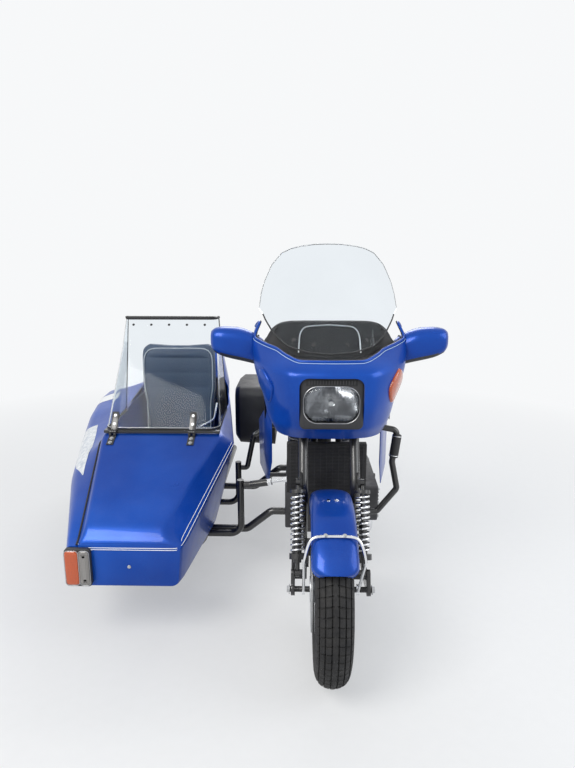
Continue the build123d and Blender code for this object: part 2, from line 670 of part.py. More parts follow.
windscreen.part.label = "windscreen"
export_step(windscreen.part, "parts/windscreen.step")

# Mirror pods on the fairing's sides
with BuildPart() as mirrors:
    for side in (-1, 1):
        for x, y_mid, z_mid, depth, height in ((290, 420, 1135, 70, 60), (345, 415, 1140, 110, 110), (440, 415, 1145, 105, 105), (462, 415, 1148, 60, 70)):
            with BuildSketch(beside(side * x, y_mid, z_mid)):
                RectangleRounded(depth, height, 22)
        loft(ruled=True)
    add(loft([fairing_outline(section, 0) for section in FAIRING_SECTIONS], ruled=True, mode=Mode.PRIVATE), mode=Mode.SUBTRACT)
mirrors.part.label = "mirrors"
export_step(mirrors.part, "parts/mirrors.step")

with BuildPart() as side_indicators:
    for side in (-1, 1):
        low, high = sorted((side * 262, side * 306))
        add_block(low, high, 325, 385, 975, 1052)
    outer_shell = loft([fairing_outline(section, 0) for section in FAIRING_SECTIONS], ruled=True, mode=Mode.PRIVATE)
    add(outer_shell, mode=Mode.SUBTRACT)
side_indicators.part.label = "side_indicators"
export_step(side_indicators.part, "parts/side_indicators.step")

# Crash bar on the left and the footrests
with BuildPart() as crash_bar:
    add_tube(
        [
            at(212, 506.7, 768), at(300, 503, 752), at(281, 490, 615), at(304, 480, 500), at(222, 478, 395),
            at(150, 476, 392), at(150, 519.7, 392),
        ],
        26, 22,
    )
crash_bar.part.label = "crash_bar"
export_step(crash_bar.part, "parts/crash_bar.step")

with BuildPart() as footrests:
    for side in (-1, 1):
        low, high = sorted((side * 110.3, side * 290))
        add_bar(low, high, 1060, 330, 12)
footrests.part.label = "footrests"
export_step(footrests.part, "parts/footrests.step")

# Sidecar chassis: a tube loop under the tub, with the cross tube that carries the wheel
RAIL_X = -545.0
UPRIGHT_TUBE = 30.0
with BuildPart() as sidecar_frame:
    add_tube(
        [
            at(RAIL_X, 1750, CHASSIS_Z), at(RAIL_X, 420, CHASSIS_Z), at(-900, 420, CHASSIS_Z), at(-900, 1750, CHASSIS_Z),
        ],
        CHASSIS_TUBE, 110,
    )
    for y in (640, 1080, 1727):
        add_bar(-900, RAIL_X, y, CHASSIS_Z, CHASSIS_TUBE / 2)
    add_bar(-1040, -900, 1020, CHASSIS_Z, CHASSIS_TUBE / 2)
    for y, x, top in ((560, -374, 500), (900, -420, 460)):
        add_tube([at(RAIL_X, y, CHASSIS_Z), at(x, y, CHASSIS_Z), at(x, y, top)], UPRIGHT_TUBE, 50)
sidecar_frame.part.label = "sidecar_frame"
export_step(sidecar_frame.part, "parts/sidecar_frame.step")

# Trailing arm with the stub axle, and its spring unit
with BuildPart() as sidecar_arm:
    add_bar(-1092, -1040.3, 1020, CHASSIS_Z, 30)
    add_tube([at(-1070, 1020, CHASSIS_Z), at(-1070, 1340, SIDECAR_TYRE_RADIUS)], 44, 0)
    add_bar(-1280, -1048, SIDECAR_WHEEL_Y, SIDECAR_TYRE_RADIUS, AXLE_RADIUS)
sidecar_arm.part.label = "sidecar_arm"
export_step(sidecar_arm.part, "parts/sidecar_arm.step")

# Struts from the sidecar's chassis to the bike's frame and engine
with BuildPart() as sidecar_struts:
    foot_x = RAIL_X + CHASSIS_TUBE / 2 + SEAT_GAP
    add_tube([at(foot_x, 610, CHASSIS_Z), at(-350, 610, CHASSIS_Z), at(-240, 610, 330), at(-175.3, 610, 330)], 34, 40)
    add_tube([at(foot_x, 1110, CHASSIS_Z), at(-350, 1110, CHASSIS_Z), at(-220, 1110, 350), at(-110.3, 1110, 350)], 34, 40)
    upright = -374 + UPRIGHT_TUBE / 2 + SEAT_GAP
    add_tube([at(upright, 560, 478), at(-330, 560, 478), at(-250, 543, 497)], 32, 20)
    add_tube([at(-252, 543, 497), at(-160, 528, 519)], 16, 0)
    add_tube([at(-164, 529, 518), at(-79, 519, 532)], 28, 0)
    upright = -420 + UPRIGHT_TUBE / 2 + SEAT_GAP
    add_tube([at(upright, 900, 430), at(-375, 900, 430), at(-340, 900, 600), at(-250, 900, 652), at(-166.3, 900, 652)], 26, 14)
sidecar_struts.part.label = "sidecar_struts"
export_step(sidecar_struts.part, "parts/sidecar_struts.step")

# Sidecar body: ruled sections with a nose, a raised hood, an open cockpit and a rear deck
# Columns: y, outer x, inner x, moulding height, hood outer x, hood inner x, hood height, floor outer x,
# floor inner x, floor height
TUB_SECTIONS = [
    (85, -932, -545, 426, -918, -600, 436, -925, -560, 265),
    (135, -940, -530, 434, -912, -650, 487, -930, -548, 265),
    (590, -1000, -400, 655, -985, -462, 700, -960, -500, 265),
    (960, -1005, -455, 690, -985, -490, 725, -960, -505, 265),
    (1340, -1008, -515, 740, -985, -540, 800, -960, -535, 265),
    (1430, -1008, -525, 760, -960, -565, 960, -960, -545, 265),
    (1700, -990, -555, 700, -940, -590, 900, -950, -570, 290),
    (1990, -930, -620, 560, -900, -650, 640, -910, -640, 360),
]


def tub_outline(section, inset):
    """Draws one upright section of the sidecar's body, moved inwards by inset."""
    y, outer_x, inner_x, moulding, hood_outer, hood_inner, hood, floor_outer, floor_inner, floor = section
    with BuildSketch(across(y)) as outline:
        with BuildLine():
            Polyline(
                (floor_outer + inset, floor + inset), (floor_inner - inset, floor + inset),
                (inner_x - inset, moulding - inset * 0.3), (hood_inner - inset * 0.7, hood - inset),
                (hood_outer + inset * 0.7, hood - inset), (outer_x + inset, moulding - inset * 0.3), close=True,
            )
        make_face()
    return outline.sketch


def tub_value(y, column):
    """Reads a column of the table at y, along the straight run between its two sections."""
    for before, after in zip(TUB_SECTIONS, TUB_SECTIONS[1:]):
        if y <= after[0]:
            share = (y - before[0]) / (after[0] - before[0])
            return before[column] + share * (after[column] - before[column])
    return TUB_SECTIONS[-1][column]


with BuildPart() as sidecar_body:
    loft([tub_outline(section, 0) for section in TUB_SECTIONS], ruled=True)
    nose_y, tail_y = TUB_SECTIONS[0][0] + TUB_WALL, TUB_SECTIONS[-1][0] - TUB_WALL
    nose = [nose_y] + [tub_value(nose_y, column) for column in range(1, 10)]
    tail_wall = [tail_y] + [tub_value(tail_y, column) for column in range(1, 10)]
    hollow = [nose] + TUB_SECTIONS[1:-1] + [tail_wall]
    loft([tub_outline(section, TUB_WALL) for section in hollow], ruled=True, mode=Mode.SUBTRACT)
    with BuildSketch(beside(-1010)):
        with BuildLine():
            Polyline((612, SILL_Z), (1336, SILL_Z), (1336, 1100), (612, 1100), close=True)
        make_face()
    extrude(amount=630, mode=Mode.SUBTRACT)
sidecar_body.part.label = "sidecar_body"
export_step(sidecar_body.part, "parts/sidecar_body.step")

# Pontoon over the sidecar wheel, from the nose to the tail, open below
# Columns: y, outer x, outer height, skirt height
PONTOON_SECTIONS = [
    (87, -977, 424, 268),
    (135, -992, 440, 270),
    (520, -1118, 530, 290),
    (590, -1133, 545, 292),
    (830, -1184, 600, 300),
    (960, -1210, 618, 305),
    (1130, -1247, 640, 310),
    (1340, -1277, 657, 318),
    (1430, -1288, 660, 322),
    (1600, -1307, 655, 330),
    (1700, -1300, 625, 340),
    (1880, -1240, 520, 360),
]


def pontoon_outline(section, inset):
    """Draws one upright section of the pontoon, moved inwards by inset but open below."""
    y, outer_x, outer_z, skirt = section
    inner_x = tub_value(y, 1) - SEAT_GAP
    inner_z = tub_value(y, 3)
    with BuildSketch(across(y)) as outline:
        with BuildLine():
            Polyline(
                (outer_x + inset, skirt - inset), (inner_x - inset, skirt - inset),
                (inner_x - inset, inner_z - inset), (outer_x + inset, outer_z - inset), close=True,
            )
        make_face()
    return outline.sketch


with BuildPart() as pontoon:
    loft([pontoon_outline(section, 0) for section in PONTOON_SECTIONS], ruled=True)
    loft([pontoon_outline(section, PANEL_WALL) for section in PONTOON_SECTIONS[1:-1]], ruled=True, mode=Mode.SUBTRACT)
    with BuildSketch(beside(-1400, SIDECAR_WHEEL_Y, SIDECAR_TYRE_RADIUS)):
        Circle(SIDECAR_TYRE_RADIUS + 35)
    extrude(amount=310, mode=Mode.SUBTRACT)
pontoon.part.label = "pontoon"
export_step(pontoon.part, "parts/pontoon.step")

with BuildPart() as sidecar_seat:
    add_block(-948, -552, 900, 1290, 271.3, 420)
    with BuildSketch(beside(-950)):
        with BuildLine():
            Polyline((1180, 420.3), (1215, 900), (1240, 985), (1290, 985), (1325, 780), (1290, 420.3), close=True)
        make_face()
    extrude(amount=375)
sidecar_seat.part.label = "sidecar_seat"
export_step(sidecar_seat.part, "parts/sidecar_seat.step")

with BuildPart() as sidecar_lamp:
    add_block(-976, -880, 60, 84.7, 272, 422)
sidecar_lamp.part.label = "sidecar_lamp"
export_step(sidecar_lamp.part, "parts/sidecar_lamp.step")

# Sidecar windscreen: one bent pane, open behind, on a rail that two strap hinges carry
# Columns: height, front y, front outer x, front inner x, rear y, rear outer x, rear inner x
PANE_SECTIONS = [
    (716, 598, -980, -466, 960, -990, -478),
    (1180, 902, -946, -517, 960, -955, -507),
]
RAIL_LOW_Z = 704.0


def pane_outline(section, inset):
    """Draws one level section of the pane, moved inwards by inset but open at the rear."""
    height, front_y, front_outer, front_inner, rear_y, rear_outer, rear_inner = section
    past = 3 if inset else 0
    with BuildSketch(level(height)) as outline:
        with BuildLine():
            Polyline(
                (front_outer + inset, front_y + inset), (front_inner - inset, front_y + inset),
                (rear_inner - inset, rear_y + past), (rear_outer + inset, rear_y + past), close=True,
            )
        make_face()
    return outline.sketch


with BuildPart() as sidecar_screen:
    loft([pane_outline(section, 0) for section in PANE_SECTIONS], ruled=True)
    loft([pane_outline(section, SCREEN_WALL) for section in PANE_SECTIONS], ruled=True, mode=Mode.SUBTRACT)
sidecar_screen.part.label = "sidecar_screen"
export_step(sidecar_screen.part, "parts/sidecar_screen.step")

foot, head = PANE_SECTIONS
pane_rise = atan2(head[0] - foot[0], head[1] - foot[1])
pane_normal = (0, -sin(pane_rise), cos(pane_rise))
hood_before, hood_after = TUB_SECTIONS[1], TUB_SECTIONS[2]
hood_rise = atan2(hood_after[6] - hood_before[6], hood_after[0] - hood_before[0])
hood_normal = (0, -sin(hood_rise), cos(hood_rise))

with BuildPart() as sidecar_screen_frame:
    add_block(foot[2], foot[3], 590, 606, RAIL_LOW_Z, foot[0] - SEAT_GAP)
    for x_front, x_rear, inwards in ((foot[2], foot[5], 1), (foot[3], foot[6], -1)):
        with BuildSketch(level(SILL_Z + SEAT_GAP)):
            with BuildLine():
                Polyline(
                    (x_front, 598), (x_rear, foot[4]), (x_rear + inwards * 14, foot[4]), (x_front + inwards * 14, 598),
                    close=True,
                )
            make_face()
        extrude(amount=foot[0] - SILL_Z - 2 * SEAT_GAP)
    add_block(head[2], head[3], head[1] - 6, head[1] + 10, head[0] + SEAT_GAP, head[0] + 10)
    for hinge_x in HINGE_PLACES:
        middle = 42
        origin = at(
            hinge_x, foot[1] + middle * cos(pane_rise) + pane_normal[1] * SEAT_GAP,
            foot[0] + middle * sin(pane_rise) + pane_normal[2] * SEAT_GAP,
        )
        with BuildSketch(Plane(origin=origin, x_dir=(1, 0, 0), z_dir=pane_normal)) as leaf:
            Rectangle(HINGE_WIDTH, 2 * middle)
        extrude(leaf.sketch, amount=4)
        third = HINGE_WIDTH / 6 - SEAT_GAP
        with BuildSketch(beside(hinge_x - third, HINGE_Y, HINGE_Z)) as knuckle:
            Circle(KNUCKLE_RADIUS)
            with Locations((KNUCKLE_RADIUS, -1)):
                Rectangle(2 * KNUCKLE_RADIUS, KNUCKLE_RADIUS)
            Circle(PIN_RADIUS + SEAT_GAP, mode=Mode.SUBTRACT)
        extrude(knuckle.sketch, amount=2 * third)
sidecar_screen_frame.part.label = "sidecar_screen_frame"
export_step(sidecar_screen_frame.part, "parts/sidecar_screen_frame.step")

with BuildPart() as screen_hinges:
    for hinge_x in HINGE_PLACES:
        leaf_length = 58
        leaf_y = HINGE_Y - 6 - leaf_length / 2 * cos(hood_rise)
        leaf_z = hood_after[6] + (leaf_y - hood_after[0]) * tan(hood_rise)
        origin = at(hinge_x, leaf_y + hood_normal[1] * SEAT_GAP, leaf_z + hood_normal[2] * SEAT_GAP)
        with BuildSketch(Plane(origin=origin, x_dir=(1, 0, 0), z_dir=hood_normal)) as leaf:
            Rectangle(HINGE_WIDTH, leaf_length)
        extrude(leaf.sketch, amount=4)
        third = HINGE_WIDTH / 6
        for low in (hinge_x - HINGE_WIDTH / 2, hinge_x + third):
            add_bar(low, low + HINGE_WIDTH / 3, HINGE_Y, HINGE_Z, KNUCKLE_RADIUS)
            add_block(low, low + HINGE_WIDTH / 3, HINGE_Y - 14, HINGE_Y, HINGE_Z - 14.5, HINGE_Z - 3)
        add_bar(hinge_x - HINGE_WIDTH / 2, hinge_x + HINGE_WIDTH / 2, HINGE_Y, HINGE_Z, PIN_RADIUS)
screen_hinges.part.label = "screen_hinges"
export_step(screen_hinges.part, "parts/screen_hinges.step")
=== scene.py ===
import json
from bisect import bisect_right
from math import atan2, cos, pi, radians, sin, sqrt, tan

import bmesh
import bpy
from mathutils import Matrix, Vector


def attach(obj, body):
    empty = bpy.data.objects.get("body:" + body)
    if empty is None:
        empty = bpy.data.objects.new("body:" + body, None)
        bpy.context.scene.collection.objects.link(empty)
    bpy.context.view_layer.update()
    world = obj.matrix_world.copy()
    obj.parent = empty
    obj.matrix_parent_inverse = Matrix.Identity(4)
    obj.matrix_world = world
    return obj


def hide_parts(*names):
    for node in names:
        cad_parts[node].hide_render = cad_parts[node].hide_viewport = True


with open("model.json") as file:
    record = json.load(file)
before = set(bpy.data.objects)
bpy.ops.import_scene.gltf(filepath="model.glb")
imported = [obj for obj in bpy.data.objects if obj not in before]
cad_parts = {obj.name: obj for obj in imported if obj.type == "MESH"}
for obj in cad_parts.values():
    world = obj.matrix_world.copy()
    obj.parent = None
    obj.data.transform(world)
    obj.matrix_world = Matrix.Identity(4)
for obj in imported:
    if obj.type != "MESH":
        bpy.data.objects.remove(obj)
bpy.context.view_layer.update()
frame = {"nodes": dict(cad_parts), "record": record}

# Where the bike stands in the frame, in metres
BIKE_X = 0.4225
FRONT_Y = -0.8375

# Camera as the photograph was taken
CAMERA_PLACE = (0.3095, -2.6825, 1.47)
CAMERA_PITCH = 12.5
CAMERA_YAW = 1.24
CAMERA_LENS = 27.05

# Floor: where its shadow zone ends, in metres, and how much of it is backdrop near the vehicle
FLOOR_NEAR = 1.5
FLOOR_FAR = 4.2
FLOOR_GLOW = 0.45

# Paint and trim colours
PAINT_BLUE = (0.0006, 0.074, 0.44, 1)
PAINT_DEEP = (0.0004, 0.036, 0.27, 1)
BACKDROP = (0.93, 0.94, 0.95, 1)
DUST = (0.32, 0.29, 0.25, 1)
RUBBER = (0.010, 0.010, 0.011, 1)
RUBBER_WORN = (0.026, 0.026, 0.027, 1)
BLACK_ENAMEL = (0.012, 0.012, 0.013, 1)
BLACK_PLASTIC = (0.022, 0.022, 0.024, 1)
ALLOY = (0.60, 0.61, 0.62, 1)
ALLOY_DARK = (0.085, 0.085, 0.09, 1)
SILVER_PAINT = (0.58, 0.60, 0.62, 1)
CHROME = (0.82, 0.83, 0.85, 1)
STEEL = (0.50, 0.51, 0.52, 1)
SEAT_VINYL = (0.022, 0.022, 0.026, 1)
TRIM_BLUE = (0.040, 0.075, 0.135, 1)
AMBER = (0.80, 0.11, 0.004, 1)
RED = (0.62, 0.008, 0.006, 1)
WHITE_PAINT = (0.86, 0.87, 0.86, 1)
FLAKE_BLUE = (0.01, 0.22, 0.85, 1)
# Near-black of the painted shade in the pits of the seat grain
PIT_SHADE_BLACK = (0.004, 0.004, 0.005, 1)


def at(x, y, z):
    """A point left of the bike's centre plane, behind its front axle and above the ground."""
    return Vector((BIKE_X + x, FRONT_Y + y, z))


# Shader building

FLOAT = "NodeSocketFloat"
VECTOR = "NodeSocketVector"
WHOLE = "NodeSocketInt"


def feed(tree, node, sockets):
    """Feeds a node's inputs, by name or by place: output sockets are linked, plain values are set."""
    for key, value in sockets.items():
        socket = node.inputs[key if isinstance(key, int) else key.replace("_", " ")]
        if isinstance(value, bpy.types.NodeSocket):
            tree.links.new(value, socket)
        else:
            socket.default_value = value
    return node


def add_node(tree, kind, settings=None, **sockets):
    """Adds a node, sets its properties from settings and feeds its inputs."""
    made = tree.nodes.new(kind)
    for key, value in (settings or {}).items():
        setattr(made, key, value)
    return feed(tree, made, sockets)


def add_math(tree, operation, *values):
    """Adds a Math node. Each operand is a number or an output socket."""
    made = add_node(tree, "ShaderNodeMath", {"operation": operation})
    return feed(tree, made, dict(enumerate(values))).outputs[0]


def add_mix(tree, mask, low, high):
    """Adds a colour mix. low and high are colours or output sockets."""
    made = add_node(tree, "ShaderNodeMix", {"data_type": "RGBA"})
    return feed(tree, made, {"Factor": mask, 6: low, 7: high}).outputs[2]


def add_range(tree, value, low, high, low_out=0.0, high_out=1.0):
    """Maps a value from one range to another, held at its ends."""
    return add_node(tree, "ShaderNodeMapRange", Value=value, From_Min=low, From_Max=high, To_Min=low_out,
                    To_Max=high_out).outputs["Result"]


def add_noise(tree, place, scale, detail, roughness=0.5):
    """Cloudy noise over the given coordinates."""
    return add_node(tree, "ShaderNodeTexNoise", Vector=place, Scale=scale, Detail=detail,
                    Roughness=roughness).outputs["Fac"]


def make_group(name, inputs, outputs):
    """Starts a shader node group. Inputs have labels and defaults, outputs labels and socket types."""
    tree = bpy.data.node_groups.new(name, "ShaderNodeTree")
    for label, default in {"Vector": (0, 0, 0), **inputs}.items():
        kind = VECTOR if isinstance(default, tuple) else FLOAT
        tree.interface.new_socket(name=label, in_out="INPUT", socket_type=kind).default_value = default
    for label, kind in outputs.items():
        tree.interface.new_socket(name=label, in_out="OUTPUT", socket_type=kind)
    return tree, tree.nodes.new("NodeGroupInput").outputs, tree.nodes.new("NodeGroupOutput")


def make_speckle_group():
    """Fine noise for colour, roughness and height that varies over a surface."""
    tree, given, end = make_group("speckle", {"Scale": 60.0, "Detail": 4.0, "Low": 0.0, "High": 1.0},
                                  {"Value": FLOAT})
    noise = add_noise(tree, given["Vector"], given["Scale"], given["Detail"], 0.6)
    feed(tree, end, {"Value": add_range(tree, noise, 0.3, 0.7, given["Low"], given["High"])})
    return tree


def make_dust_group():
    """A mask for road dust: more near the ground and on faces that look up, broken up by noise."""
    tree, given, end = make_group("road_dust", {"Scale": 9.0, "Amount": 0.3, "Clean Height": 0.8},
                                  {"Mask": FLOAT})
    cloud = add_range(tree, add_noise(tree, given["Vector"], given["Scale"], 6.0, 0.65), 0.35, 0.75)
    height = add_node(tree, "ShaderNodeSeparateXYZ", Vector=given["Vector"]).outputs["Z"]
    low_down = add_range(tree, add_math(tree, "DIVIDE", height, given["Clean Height"]), 0.1, 1.0, 1.0, 0.12)
    normal = add_node(tree, "ShaderNodeNewGeometry").outputs["Normal"]
    facing = add_node(tree, "ShaderNodeSeparateXYZ", Vector=normal).outputs["Z"]
    mask = add_math(tree, "MULTIPLY", cloud, low_down)
    mask = add_math(tree, "MULTIPLY", mask, add_range(tree, facing, -0.2, 1.0, 0.35, 1.0))
    feed(tree, end, {"Mask": add_math(tree, "MULTIPLY", mask, given["Amount"])})
    return tree


def make_grain_group():
    """The pebbled height of moulded plastic and leather."""
    tree, given, end = make_group("pebble_grain", {"Scale": 900.0}, {"Height": FLOAT})
    cells = add_node(tree, "ShaderNodeTexVoronoi", {"feature": "DISTANCE_TO_EDGE"}, Vector=given["Vector"],
                     Scale=given["Scale"])
    dome = add_range(tree, cells.outputs["Distance"], 0.0, 0.35)
    noise = add_noise(tree, given["Vector"], given["Scale"], 3.0)
    feed(tree, end, {"Height": add_math(tree, "MULTIPLY_ADD", dome, 0.7, noise)})
    return tree


def make_scratch_group():
    """Fine lines along one axis, for ground and brushed metal."""
    tree, given, end = make_group("fine_scratches", {"Across": (900.0, 900.0, 12.0)}, {"Value": FLOAT})
    stretch = add_node(tree, "ShaderNodeVectorMath", {"operation": "MULTIPLY"})
    feed(tree, stretch, {0: given["Vector"], 1: given["Across"]})
    feed(tree, end, {"Value": add_noise(tree, stretch.outputs["Vector"], 1.0, 4.0)})
    return tree


def make_flake_group():
    """Tiny bright flakes, a slow shift in tone and orange peel, for metallic paint."""
    tree, given, end = make_group("paint_flake", {"Flake Scale": 1600.0, "Tone Scale": 2.2},
                                  {"Flake": FLOAT, "Tone": FLOAT, "Normal": VECTOR})
    cells = add_node(tree, "ShaderNodeTexVoronoi", Vector=given["Vector"], Scale=given["Flake Scale"])
    parts = add_node(tree, "ShaderNodeSeparateColor", Color=cells.outputs["Color"])
    peel = add_noise(tree, given["Vector"], 140.0, 1.0)
    bump = add_node(tree, "ShaderNodeBump", Strength=0.035, Distance=0.002, Height=peel)
    tone = add_noise(tree, given["Vector"], given["Tone Scale"], 3.0)
    feed(tree, end, {"Flake": add_range(tree, parts.outputs["Red"], 0.80, 1.0),
                     "Tone": add_range(tree, tone, 0.3, 0.7), "Normal": bump.outputs["Normal"]})
    return tree


SPECKLE = make_speckle_group()
ROAD_DUST = make_dust_group()
GRAIN = make_grain_group()
SCRATCHES = make_scratch_group()
FLAKE = make_flake_group()


def start_material(name, color, **shader_values):
    """Starts a material. Returns it with its tree, its shader and its object coordinates."""
    made = bpy.data.materials.new(name)
    made.use_nodes = True
    made.diffuse_color = color
    tree = made.node_tree
    shader = feed(tree, tree.nodes["Principled BSDF"], {"Base Color": color, **shader_values})
    return made, tree, shader, add_node(tree, "ShaderNodeTexCoord").outputs["Object"]


def use_group(tree, group, place, **sockets):
    """Places a node group in a material on the given coordinates."""
    made = tree.nodes.new("ShaderNodeGroup")
    made.node_tree = group
    return feed(tree, made, {"Vector": place, **sockets}).outputs


def vary(tree, place, scale, low=0.0, high=1.0, detail=4.0):
    """Fine noise between two values over a surface."""
    return use_group(tree, SPECKLE, place, Scale=scale, Low=low, High=high, Detail=detail)["Value"]


def roughen(tree, shader, place, scale, low, high):
    """Makes a surface's shine vary between two values."""
    feed(tree, shader, {"Roughness": vary(tree, place, scale, low, high)})


def add_dust(tree, shader, place, color, amount, clean_height, scale=9.0):
    """Lays road dust over a colour and returns the mask."""
    mask = use_group(tree, ROAD_DUST, place, Scale=scale, Amount=amount, Clean_Height=clean_height)["Mask"]
    feed(tree, shader, {"Base Color": add_mix(tree, mask, color, DUST)})
    return mask


def add_bump(tree, shader, height, strength, distance):
    """Feeds a height into the shader's normal."""
    bump = add_node(tree, "ShaderNodeBump", Strength=strength, Distance=distance, Height=height)
    feed(tree, shader, {"Normal": bump.outputs["Normal"]})


def darker(color, share):
    """A colour brought down to a share of itself."""
    return tuple(share * part for part in color[:3]) + (1,)


def blue_paint():
    """Deep blue enamel with fine flake under a clear coat, dusty low down."""
    made, tree, shader, place = start_material("blue_enamel", PAINT_BLUE, Metallic=0.3, Coat_Weight=0.28,
                                               Coat_Roughness=0.03, Coat_IOR=1.45, Specular_IOR_Level=0.2)
    paint = use_group(tree, FLAKE, place)
    base = add_mix(tree, paint["Tone"], PAINT_DEEP, PAINT_BLUE)
    sparkle = add_mix(tree, add_math(tree, "MULTIPLY", paint["Flake"], 0.22), base, FLAKE_BLUE)
    mask = add_dust(tree, shader, place, sparkle, 0.07, 0.9)
    smear = vary(tree, place, 7.0, 0.27, 0.40)
    rough = add_math(tree, "MULTIPLY_ADD", mask, 0.4, smear)
    feed(tree, shader, {"Roughness": rough, "Normal": paint["Normal"]})
    return made


def dark_enamel(name, color, roughness, dust):
    """Black enamel on tube and bracket, with a little orange peel and dust."""
    made, tree, shader, place = start_material(name, color, Coat_Weight=0.5, Coat_Roughness=0.12)
    add_dust(tree, shader, place, color, dust, 0.7)
    roughen(tree, shader, place, 22.0, roughness, roughness + 0.16)
    add_bump(tree, shader, vary(tree, place, 300.0, detail=1.0), 0.08, 0.001)
    return made


def grained_plastic(name, color, roughness, scale, dust):
    """Moulded plastic with a pebbled grain."""
    made, tree, shader, place = start_material(name, color)
    add_dust(tree, shader, place, color, dust, 0.8, 16.0)
    roughen(tree, shader, place, 14.0, roughness, roughness + 0.18)
    add_bump(tree, shader, use_group(tree, GRAIN, place, Scale=scale)["Height"], 0.22, 0.0008)
    return made


def leather(name, color, lighter, scale):
    """Seat cover: grained vinyl, lighter in random rubbed patches, with painted shade darkening the pits of
    its grain.
    """
    made, tree, shader, place = start_material(name, color, Sheen_Weight=0.15, Sheen_Roughness=0.5)
    grain = use_group(tree, GRAIN, place, Scale=scale)["Height"]
    rubbed = add_mix(tree, vary(tree, place, 6.0, 0.0, 0.55), color, lighter)
    # Painted shade: the low pits of the grain are darkened towards near-black
    pit_shade = add_range(tree, grain, 0.2, 1.1, 0.35, 0.0)
    feed(tree, shader, {"Base Color": add_mix(tree, pit_shade, rubbed, PIT_SHADE_BLACK)})
    roughen(tree, shader, place, 10.0, 0.38, 0.58)
    add_bump(tree, shader, grain, 0.35, 0.001)
    return made


def bright_metal(name, color, roughness, change, scratch):
    """Polished or plated metal with faint scratches and smears."""
    made, tree, shader, place = start_material(name, color, Metallic=1.0)
    lines = use_group(tree, SCRATCHES, place, Across=scratch)["Value"]
    tone = add_mix(tree, vary(tree, place, 18.0, 0.0, 0.35), color, darker(color, 0.62))
    rough = add_range(tree, lines, 0.3, 0.7, roughness, roughness + change)
    feed(tree, shader, {"Base Color": tone, "Roughness": rough})
    add_bump(tree, shader, lines, 0.04, 0.0005)
    return made


def cast_alloy(name, color, roughness, dust):
    """Sand-cast or painted alloy with a fine rough skin and grime."""
    made, tree, shader, place = start_material(name, color, Metallic=0.85)
    base = add_mix(tree, vary(tree, place, 12.0, 0.0, 0.6), color, darker(color, 0.55))
    add_dust(tree, shader, place, base, dust, 0.7, 14.0)
    roughen(tree, shader, place, 40.0, roughness, roughness + 0.2)
    add_bump(tree, shader, vary(tree, place, 650.0, detail=3.0), 0.18, 0.0008)
    return made


def tyre_rubber():
    """Tyre rubber: black, greyer where the road has scuffed it."""
    made, tree, shader, place = start_material("tyre_rubber", RUBBER, Specular_IOR_Level=0.35)
    worn = add_mix(tree, vary(tree, place, 26.0, 0.0, 0.7), RUBBER, RUBBER_WORN)
    add_dust(tree, shader, place, worn, 0.12, 1.2, 20.0)
    roughen(tree, shader, place, 50.0, 0.62, 0.88)
    add_bump(tree, shader, vary(tree, place, 900.0, detail=2.0), 0.2, 0.0006)
    return made


def clear_sheet(name, color, roughness):
    """Clear acrylic: see-through, faintly tinted, with a smear of dust."""
    made, tree, shader, place = start_material(name, color, Transmission_Weight=1.0, IOR=1.15, Metallic=0.0)
    roughen(tree, shader, place, 9.0, roughness, roughness + 0.05)
    tint = add_mix(tree, vary(tree, place, 3.0, 0.0, 0.25), color, darker(color, 0.85))
    feed(tree, shader, {"Base Color": tint})
    return made


def lens_plastic(name, color, glow):
    """Moulded lamp lens with prisms inside its skin."""
    made, tree, shader, place = start_material(name, color, Coat_Weight=1.0, Coat_Roughness=0.04, IOR=1.45,
                                               Transmission_Weight=0.35, Roughness=0.22)
    prisms = add_node(tree, "ShaderNodeTexVoronoi", {"feature": "F1", "distance": "CHEBYCHEV"}, Scale=170.0,
                      Randomness=0.0, Vector=place).outputs["Distance"]
    base = add_mix(tree, add_range(tree, prisms, 0.0, 0.6, 0.0, 0.6), color, darker(color, 0.45))
    feed(tree, shader, {"Base Color": base, "Emission Color": base, "Emission Strength": glow})
    add_bump(tree, shader, prisms, 0.25, 0.001)
    return made


def fluted_glass(name, color):
    """Headlamp glass with upright flutes."""
    made, tree, shader, place = start_material(name, color, Transmission_Weight=1.0, IOR=1.3, Metallic=0.0)
    flutes = add_node(tree, "ShaderNodeTexWave", {"wave_type": "BANDS", "bands_direction": "X"}, Scale=26.0,
                      Vector=place)
    add_bump(tree, shader, flutes.outputs["Fac"], 0.35, 0.0015)
    roughen(tree, shader, place, 30.0, 0.02, 0.08)
    return made


def plain_paint(name, color, roughness):
    """A painted or taped surface in one colour, a little dirty."""
    made, tree, shader, place = start_material(name, color, Coat_Weight=0.4, Coat_Roughness=0.1)
    add_dust(tree, shader, place, color, 0.2, 0.9)
    roughen(tree, shader, place, 30.0, roughness, roughness + 0.15)
    return made


def film_with_painted_reflections(name, color, reflection_color):
    """White film with painted reflections of leaves and sky: grey and blue patches painted over white."""
    made, tree, shader, place = start_material(name, color, Coat_Weight=0.6, Coat_Roughness=0.05)
    # Painted reflections: grey and blue patches of leaves and sky mixed into the white
    sky_and_leaf_reflections = vary(tree, place, 55.0, 0.0, 0.8, 8.0)
    feed(tree, shader, {"Base Color": add_mix(tree, sky_and_leaf_reflections, color, reflection_color)})
    roughen(tree, shader, place, 30.0, 0.3, 0.5)
    return made


